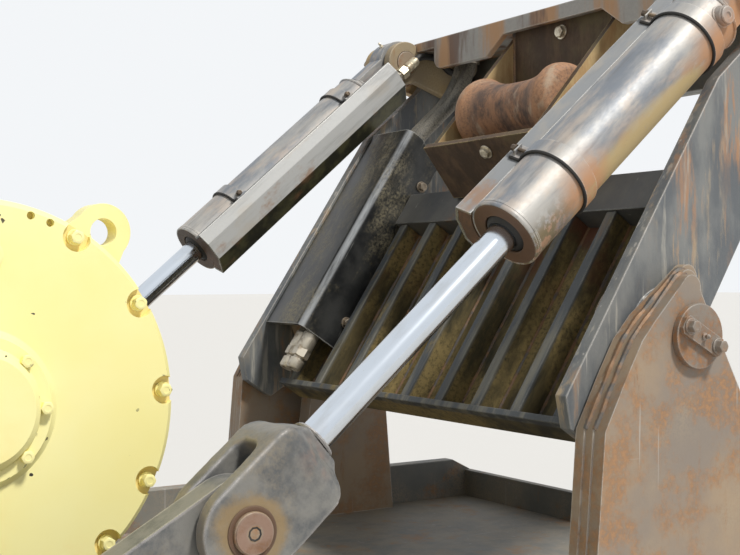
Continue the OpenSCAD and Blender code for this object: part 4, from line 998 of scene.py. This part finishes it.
def arch_hoses():
    """Two oil hoses up the hose guard's side to the top plate, held by clips, with couplings at both ends."""
    up = (TOP_UNDER - 0.0003 - PIVOT.z - 0.100 * math.sin(LEAN)) / math.cos(LEAN)
    rise = Vector((-math.sin(LEAN), 0, math.cos(LEAN)))
    b, ends = Build(ARCH), Build(ARCH)
    for y in HOSE_Y:
        end = Vector((-0.100, -0.027 + y, up))
        route = [Vector(p) + Vector((0, y, 0)) for p in HOSE_ROUTE] + [end - rise * 0.036, end]
        b.tube(smooth_path(route, 10), HOSE_R, 24)
        lower = route[0]
        ends.turned(lower + Vector((0, 0, 0.052)), (0, 0, -1),
                    [(17.5, 0), (20, 2), (20, 40), (18.5, 43), (15, 44)], 36)
        ends.bolt(lower + Vector((0, 0, 0.010)), (0, 0, -1), 0.036, height=0.022)
        ends.turned(lower + Vector((0, 0, -0.010)), (0, 0, -1),
                    [(14, 0), (14, 8), (18, 9), (18, 30), (15, 34), (9, 34), (8.5, 26)], 36)
        ends.turned(end - rise * 0.040, rise, [(17.5, 0), (19.8, 2), (19.8, 26), (17.5, 28)], 36)
        ends.bolt(end - rise * 0.015, rise, 0.036, height=0.0145)
    hoses = b.done("arch_hose_pair", "arch", "hose_rubber")
    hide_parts("arch_hoses")
    ends.done("arch_hose_couplings", "arch", "pipe_zinc")
    clips = Build(ARCH)
    middle = sum(HOSE_Y) / 2
    half_y, half_x = HOSE_R * 2 + 0.0015, HOSE_R + 0.0015
    corner = [(1, -1), (1, 0.55), (0.8, 0.86), (0.3, 1.0)]
    for z, x in ((0.020, -0.0805), (0.330, -0.0885)):
        outer = [(half_x * cx, half_y * cy) for cx, cy in corner]
        outer += [(-dx, dy) for dx, dy in outer[::-1]]
        inner = [(dx * 0.84, dy * (0.93 if dy > 0 else 1)) for dx, dy in outer]
        clips.slab([(x + dx, middle + dy, z) for dx, dy in outer + inner[::-1]], (0, 0, 0.028))
    clips.done("arch_hose_clips", "arch", "pipe_zinc", BOLT_STEEL, 0.0006)


def arch_bolts():
    """The bolts that show on the fairlead and the hose guard."""
    forward, down = polar(1, 38)[::-1]
    b = Build()
    b.bolt((THROAT_X, -0.003, 1.515), (-1, 0, 0), 0.024, 0.017, 0.010)
    b.bolt((-0.0934, -0.0274, 1.2253), (-down, 0, -forward), 0.022, 0.016, 0.009)
    b.done("fairlead_bolts", "arch", "pin_steel", BRIGHT_BOLT)
    b = Build(ARCH)
    for z in (0.376, -0.030):
        b.bolt((-0.027, 0.400, z), (0, -1, 0), 0.019, 0.014, 0.010)
    b.done("guard_bolts", "arch", "pin_steel", BOLT_STEEL)


def arch_welds():
    cross_front, cross_back, low, high = -0.045, 0.022, 0.250, 0.340
    leg = 0.571
    b = Build(ARCH)
    b.weld([(cross_front, -leg, low), (cross_front, -leg, high), (cross_back, -leg, high)], 0.0055)
    b.weld([(cross_back, leg, low), (cross_back, leg, high)], 0.0055)
    rib_half, pitch, panel_x = 0.013, 0.120, 0.0100
    for i in range(-4, 5):
        for s in (-1, 1):
            y = i * pitch + s * rib_half
            b.weld([(panel_x, y, -0.205), (panel_x, y, 0.248)], 0.0045)
    b.done("arch_welds", "arch", "arch_paint", WELD)
    b = Build()

    def along(y, z, start, end, r):
        b.weld([(start, y, z), (end, y, z)], r)

    for s in (-1, 1):
        along(s * (THROAT_HALF + BOX_WALL), TOP_UNDER, 0.16, 0.30, 0.0055)
        b.weld([(THROAT_X, s * THROAT_HALF, 1.290), (THROAT_X, s * THROAT_HALF, 1.540)], 0.0045)
        for y, start in ((0.525, 0.112), (0.551, 0.175), (0.619, 0.175), (0.645, 0.112)):
            along(s * y, TOP_UNDER, start, 0.318, 0.0050)
        for y in (0.060, 0.100, 0.150, 0.190):
            along(s * y, TOP_Z, 0.362, 0.618, 0.0055)
    b.weld([(LIP_X + 0.018, -0.440, TOP_UNDER), (LIP_X + 0.018, 0.440, TOP_UNDER)], 0.0050)
    b.done("arch_top_welds", "arch", "arch_paint", WELD)


def keeper(b, at, side, size):
    """A pin's keeper: a plate across its end with two bolts, and a grease nipple between them."""
    at, out, t = Vector(at), Vector((0, side, 0)), 0.008
    length, width = size * 1.05, size * 0.34
    turn = Matrix.Rotation(math.radians(28), 3, "Y")
    corner = [(1, -0.55), (1, 0.55), (0.86, 1)]
    outline = [(-1, -0.55), (-0.86, -1), (0.86, -1), *corner, (-0.86, 1), (-1, 0.55)]
    b.slab([at + turn @ Vector((x * length, 0, z * width)) for x, z in outline], out * t)
    for s in (-1, 1):
        b.bolt(at + out * t + turn @ Vector((s * length * 0.72, 0, 0)), out, 0.019, 0.014)
    b.turned(at + out * t, out, [(6, 0), (6, 3), (3.5, 4), (3.5, 8), (4.5, 10), (1.5, 13.5)], 20)


def pin_keepers():
    for name, body, pin, end, size in (("pivot", "frame", PIVOT, PIN_END, 0.050),
                                       ("cylinder", "arch", TOP_PIN, TOP_PIN_END, 0.040)):
        b = Build()
        for side in (-1, 1):
            keeper(b, (pin.x, side * end, pin.z), side, size)
        b.done(f"{name}_pin_keepers", body, "pin_steel", bevel=0.0008)
    b = Build()
    for side in (-1, 1):
        b.turned((ROLLER.x, side * (THROAT_HALF + BOX_WALL + 0.012), ROLLER.z), (0, side, 0),
                 [(20, -1), (20, 1), (8, 1.8)])
    b.done("roller_shaft_ends", "arch", "pin_steel", BOLT_STEEL)


# Frame

def ear_layer(layer):
    """Outline of a pivot ear's layer above its foot, from the front round the top to the rear, in X and Z."""
    step = 0.003 * layer
    top = (0.030 - 0.019 * layer, 0.101 - 0.009 * layer)
    points = [(-0.215 + step, -0.150), (-0.165 + step, -0.060), (-0.131 + step, -0.004), (-0.093, 0.036 - step),
              (top[0] - 0.0132, top[1] + 0.0172), *arc(top, 0.022, 100, 10, 3), (0.150 - step, -0.150)]
    return [(PIVOT.x + x, PIVOT.z + z) for x, z in points]


def frame_welds():
    b = Build()
    for side in (-1, 1):
        for layer, y in ((1, 0.625), (2, 0.643)):
            b.weld([(x, side * y, z) for x, z in ear_layer(layer)], 0.0055)
        # The lugs' feet on the side plates' upper edges, and the side plates along the deck
        for y, z, start, end in ((0.561, 0.450, LOW_PIN.x - 0.415, LOW_PIN.x + 0.055),
                                 (0.609, 0.450, LOW_PIN.x - 0.415, LOW_PIN.x + 0.055),
                                 (0.565, DECK_Z, -1.735, -1.60), (0.565, DECK_Z, -0.970, -0.300)):
            b.weld([(start, side * y, z), (end, side * y, z)], 0.007)
    b.done("frame_welds", "frame", "frame_paint", WELD)


def seat_details():
    """A hardened bush in each bolt hole of the axle seats."""
    b = Build()
    for x in (-0.140, 0.140):
        for y in (-0.500, 0.500):
            b.turned((x, y, 0.050), (0, 0, 1), [(14.1, -6), (18, -6), (18, 1.5), (14.1, 1.5)], closed=True)
    b.done("seat_bushes", "frame", "frame_paint", BOLT_STEEL)


dress_nodes()
winch_details()
motor_details()
for makers in ((mouth_details, barrel_details, pipe_cover, band_details, clevis_casting, clevis_details),
               (cylinder_hose,)):
    for name, side in SIDES:
        for make in makers:
            make(name, side, CYLINDER[side], f"barrel_{name}")
arch_hoses()
arch_bolts()
arch_welds()
pin_keepers()
frame_welds()
seat_details()
soften_nodes()


# Stage, light and camera

def stage():
    data = bpy.data.meshes.new("floor")
    reach = 60
    data.from_pydata([(-reach, -reach, 0), (reach, -reach, 0), (reach, reach, 0), (-reach, reach, 0)], [],
                     [(0, 1, 2, 3)])
    floor = bpy.data.objects.new("floor", data)
    bpy.context.scene.collection.objects.link(floor)
    floor.location.z = -0.002
    p = Paint("floor")
    p.colour = (0.66, 0.65, 0.63)
    data.materials.append(p.finish(0.8))


def world():
    """Even pale light. The camera and glossy rays see a white background."""
    made = bpy.data.worlds.new("studio")
    bpy.context.scene.world = made
    made.use_nodes = True
    tree = made.node_tree
    tree.nodes.clear()
    output, seen, fill, rays, mix, seen_by = (tree.nodes.new(f"ShaderNode{kind}") for kind in (
        "OutputWorld", "Background", "Background", "LightPath", "MixShader", "Math"))
    for node, colour, strength in ((seen, (0.90, 0.92, 0.94, 1), 1.0), (fill, (0.94, 0.97, 1.0, 1), 0.42)):
        node.inputs[0].default_value = colour
        node.inputs[1].default_value = strength
    seen_by.operation = "MAXIMUM"
    for source, target in ((rays.outputs["Is Camera Ray"], seen_by.inputs[0]),
                           (rays.outputs["Is Glossy Ray"], seen_by.inputs[1]),
                           (seen_by.outputs[0], mix.inputs[0]), (fill.outputs[0], mix.inputs[1]),
                           (seen.outputs[0], mix.inputs[2]), (mix.outputs[0], output.inputs[0])):
        tree.links.new(source, target)


def lamps():
    sun = bpy.data.lights.new("key", "SUN")
    sun.energy = 3.3
    sun.angle = math.radians(9)
    sun.color = (1.0, 0.975, 0.93)
    key = bpy.data.objects.new("key", sun)
    key.rotation_euler = Vector((0.17, -0.56, 0.81)).to_track_quat("Z", "Y").to_euler()
    bpy.context.scene.collection.objects.link(key)


def camera():
    """Level, looking to the rear and to the machine's right."""
    data = bpy.data.cameras.new("camera")
    data.sensor_width = 36
    data.lens = 59.16
    made = bpy.data.objects.new("camera", data)
    made.location = (-1.75, -2.11, 0.95)
    made.rotation_euler = (math.radians(90), 0, -math.atan2(0.545, 0.839))
    bpy.context.scene.collection.objects.link(made)
    bpy.context.scene.camera = made


stage()
world()
lamps()
camera()
bpy.context.scene.view_settings.view_transform = "Standard"
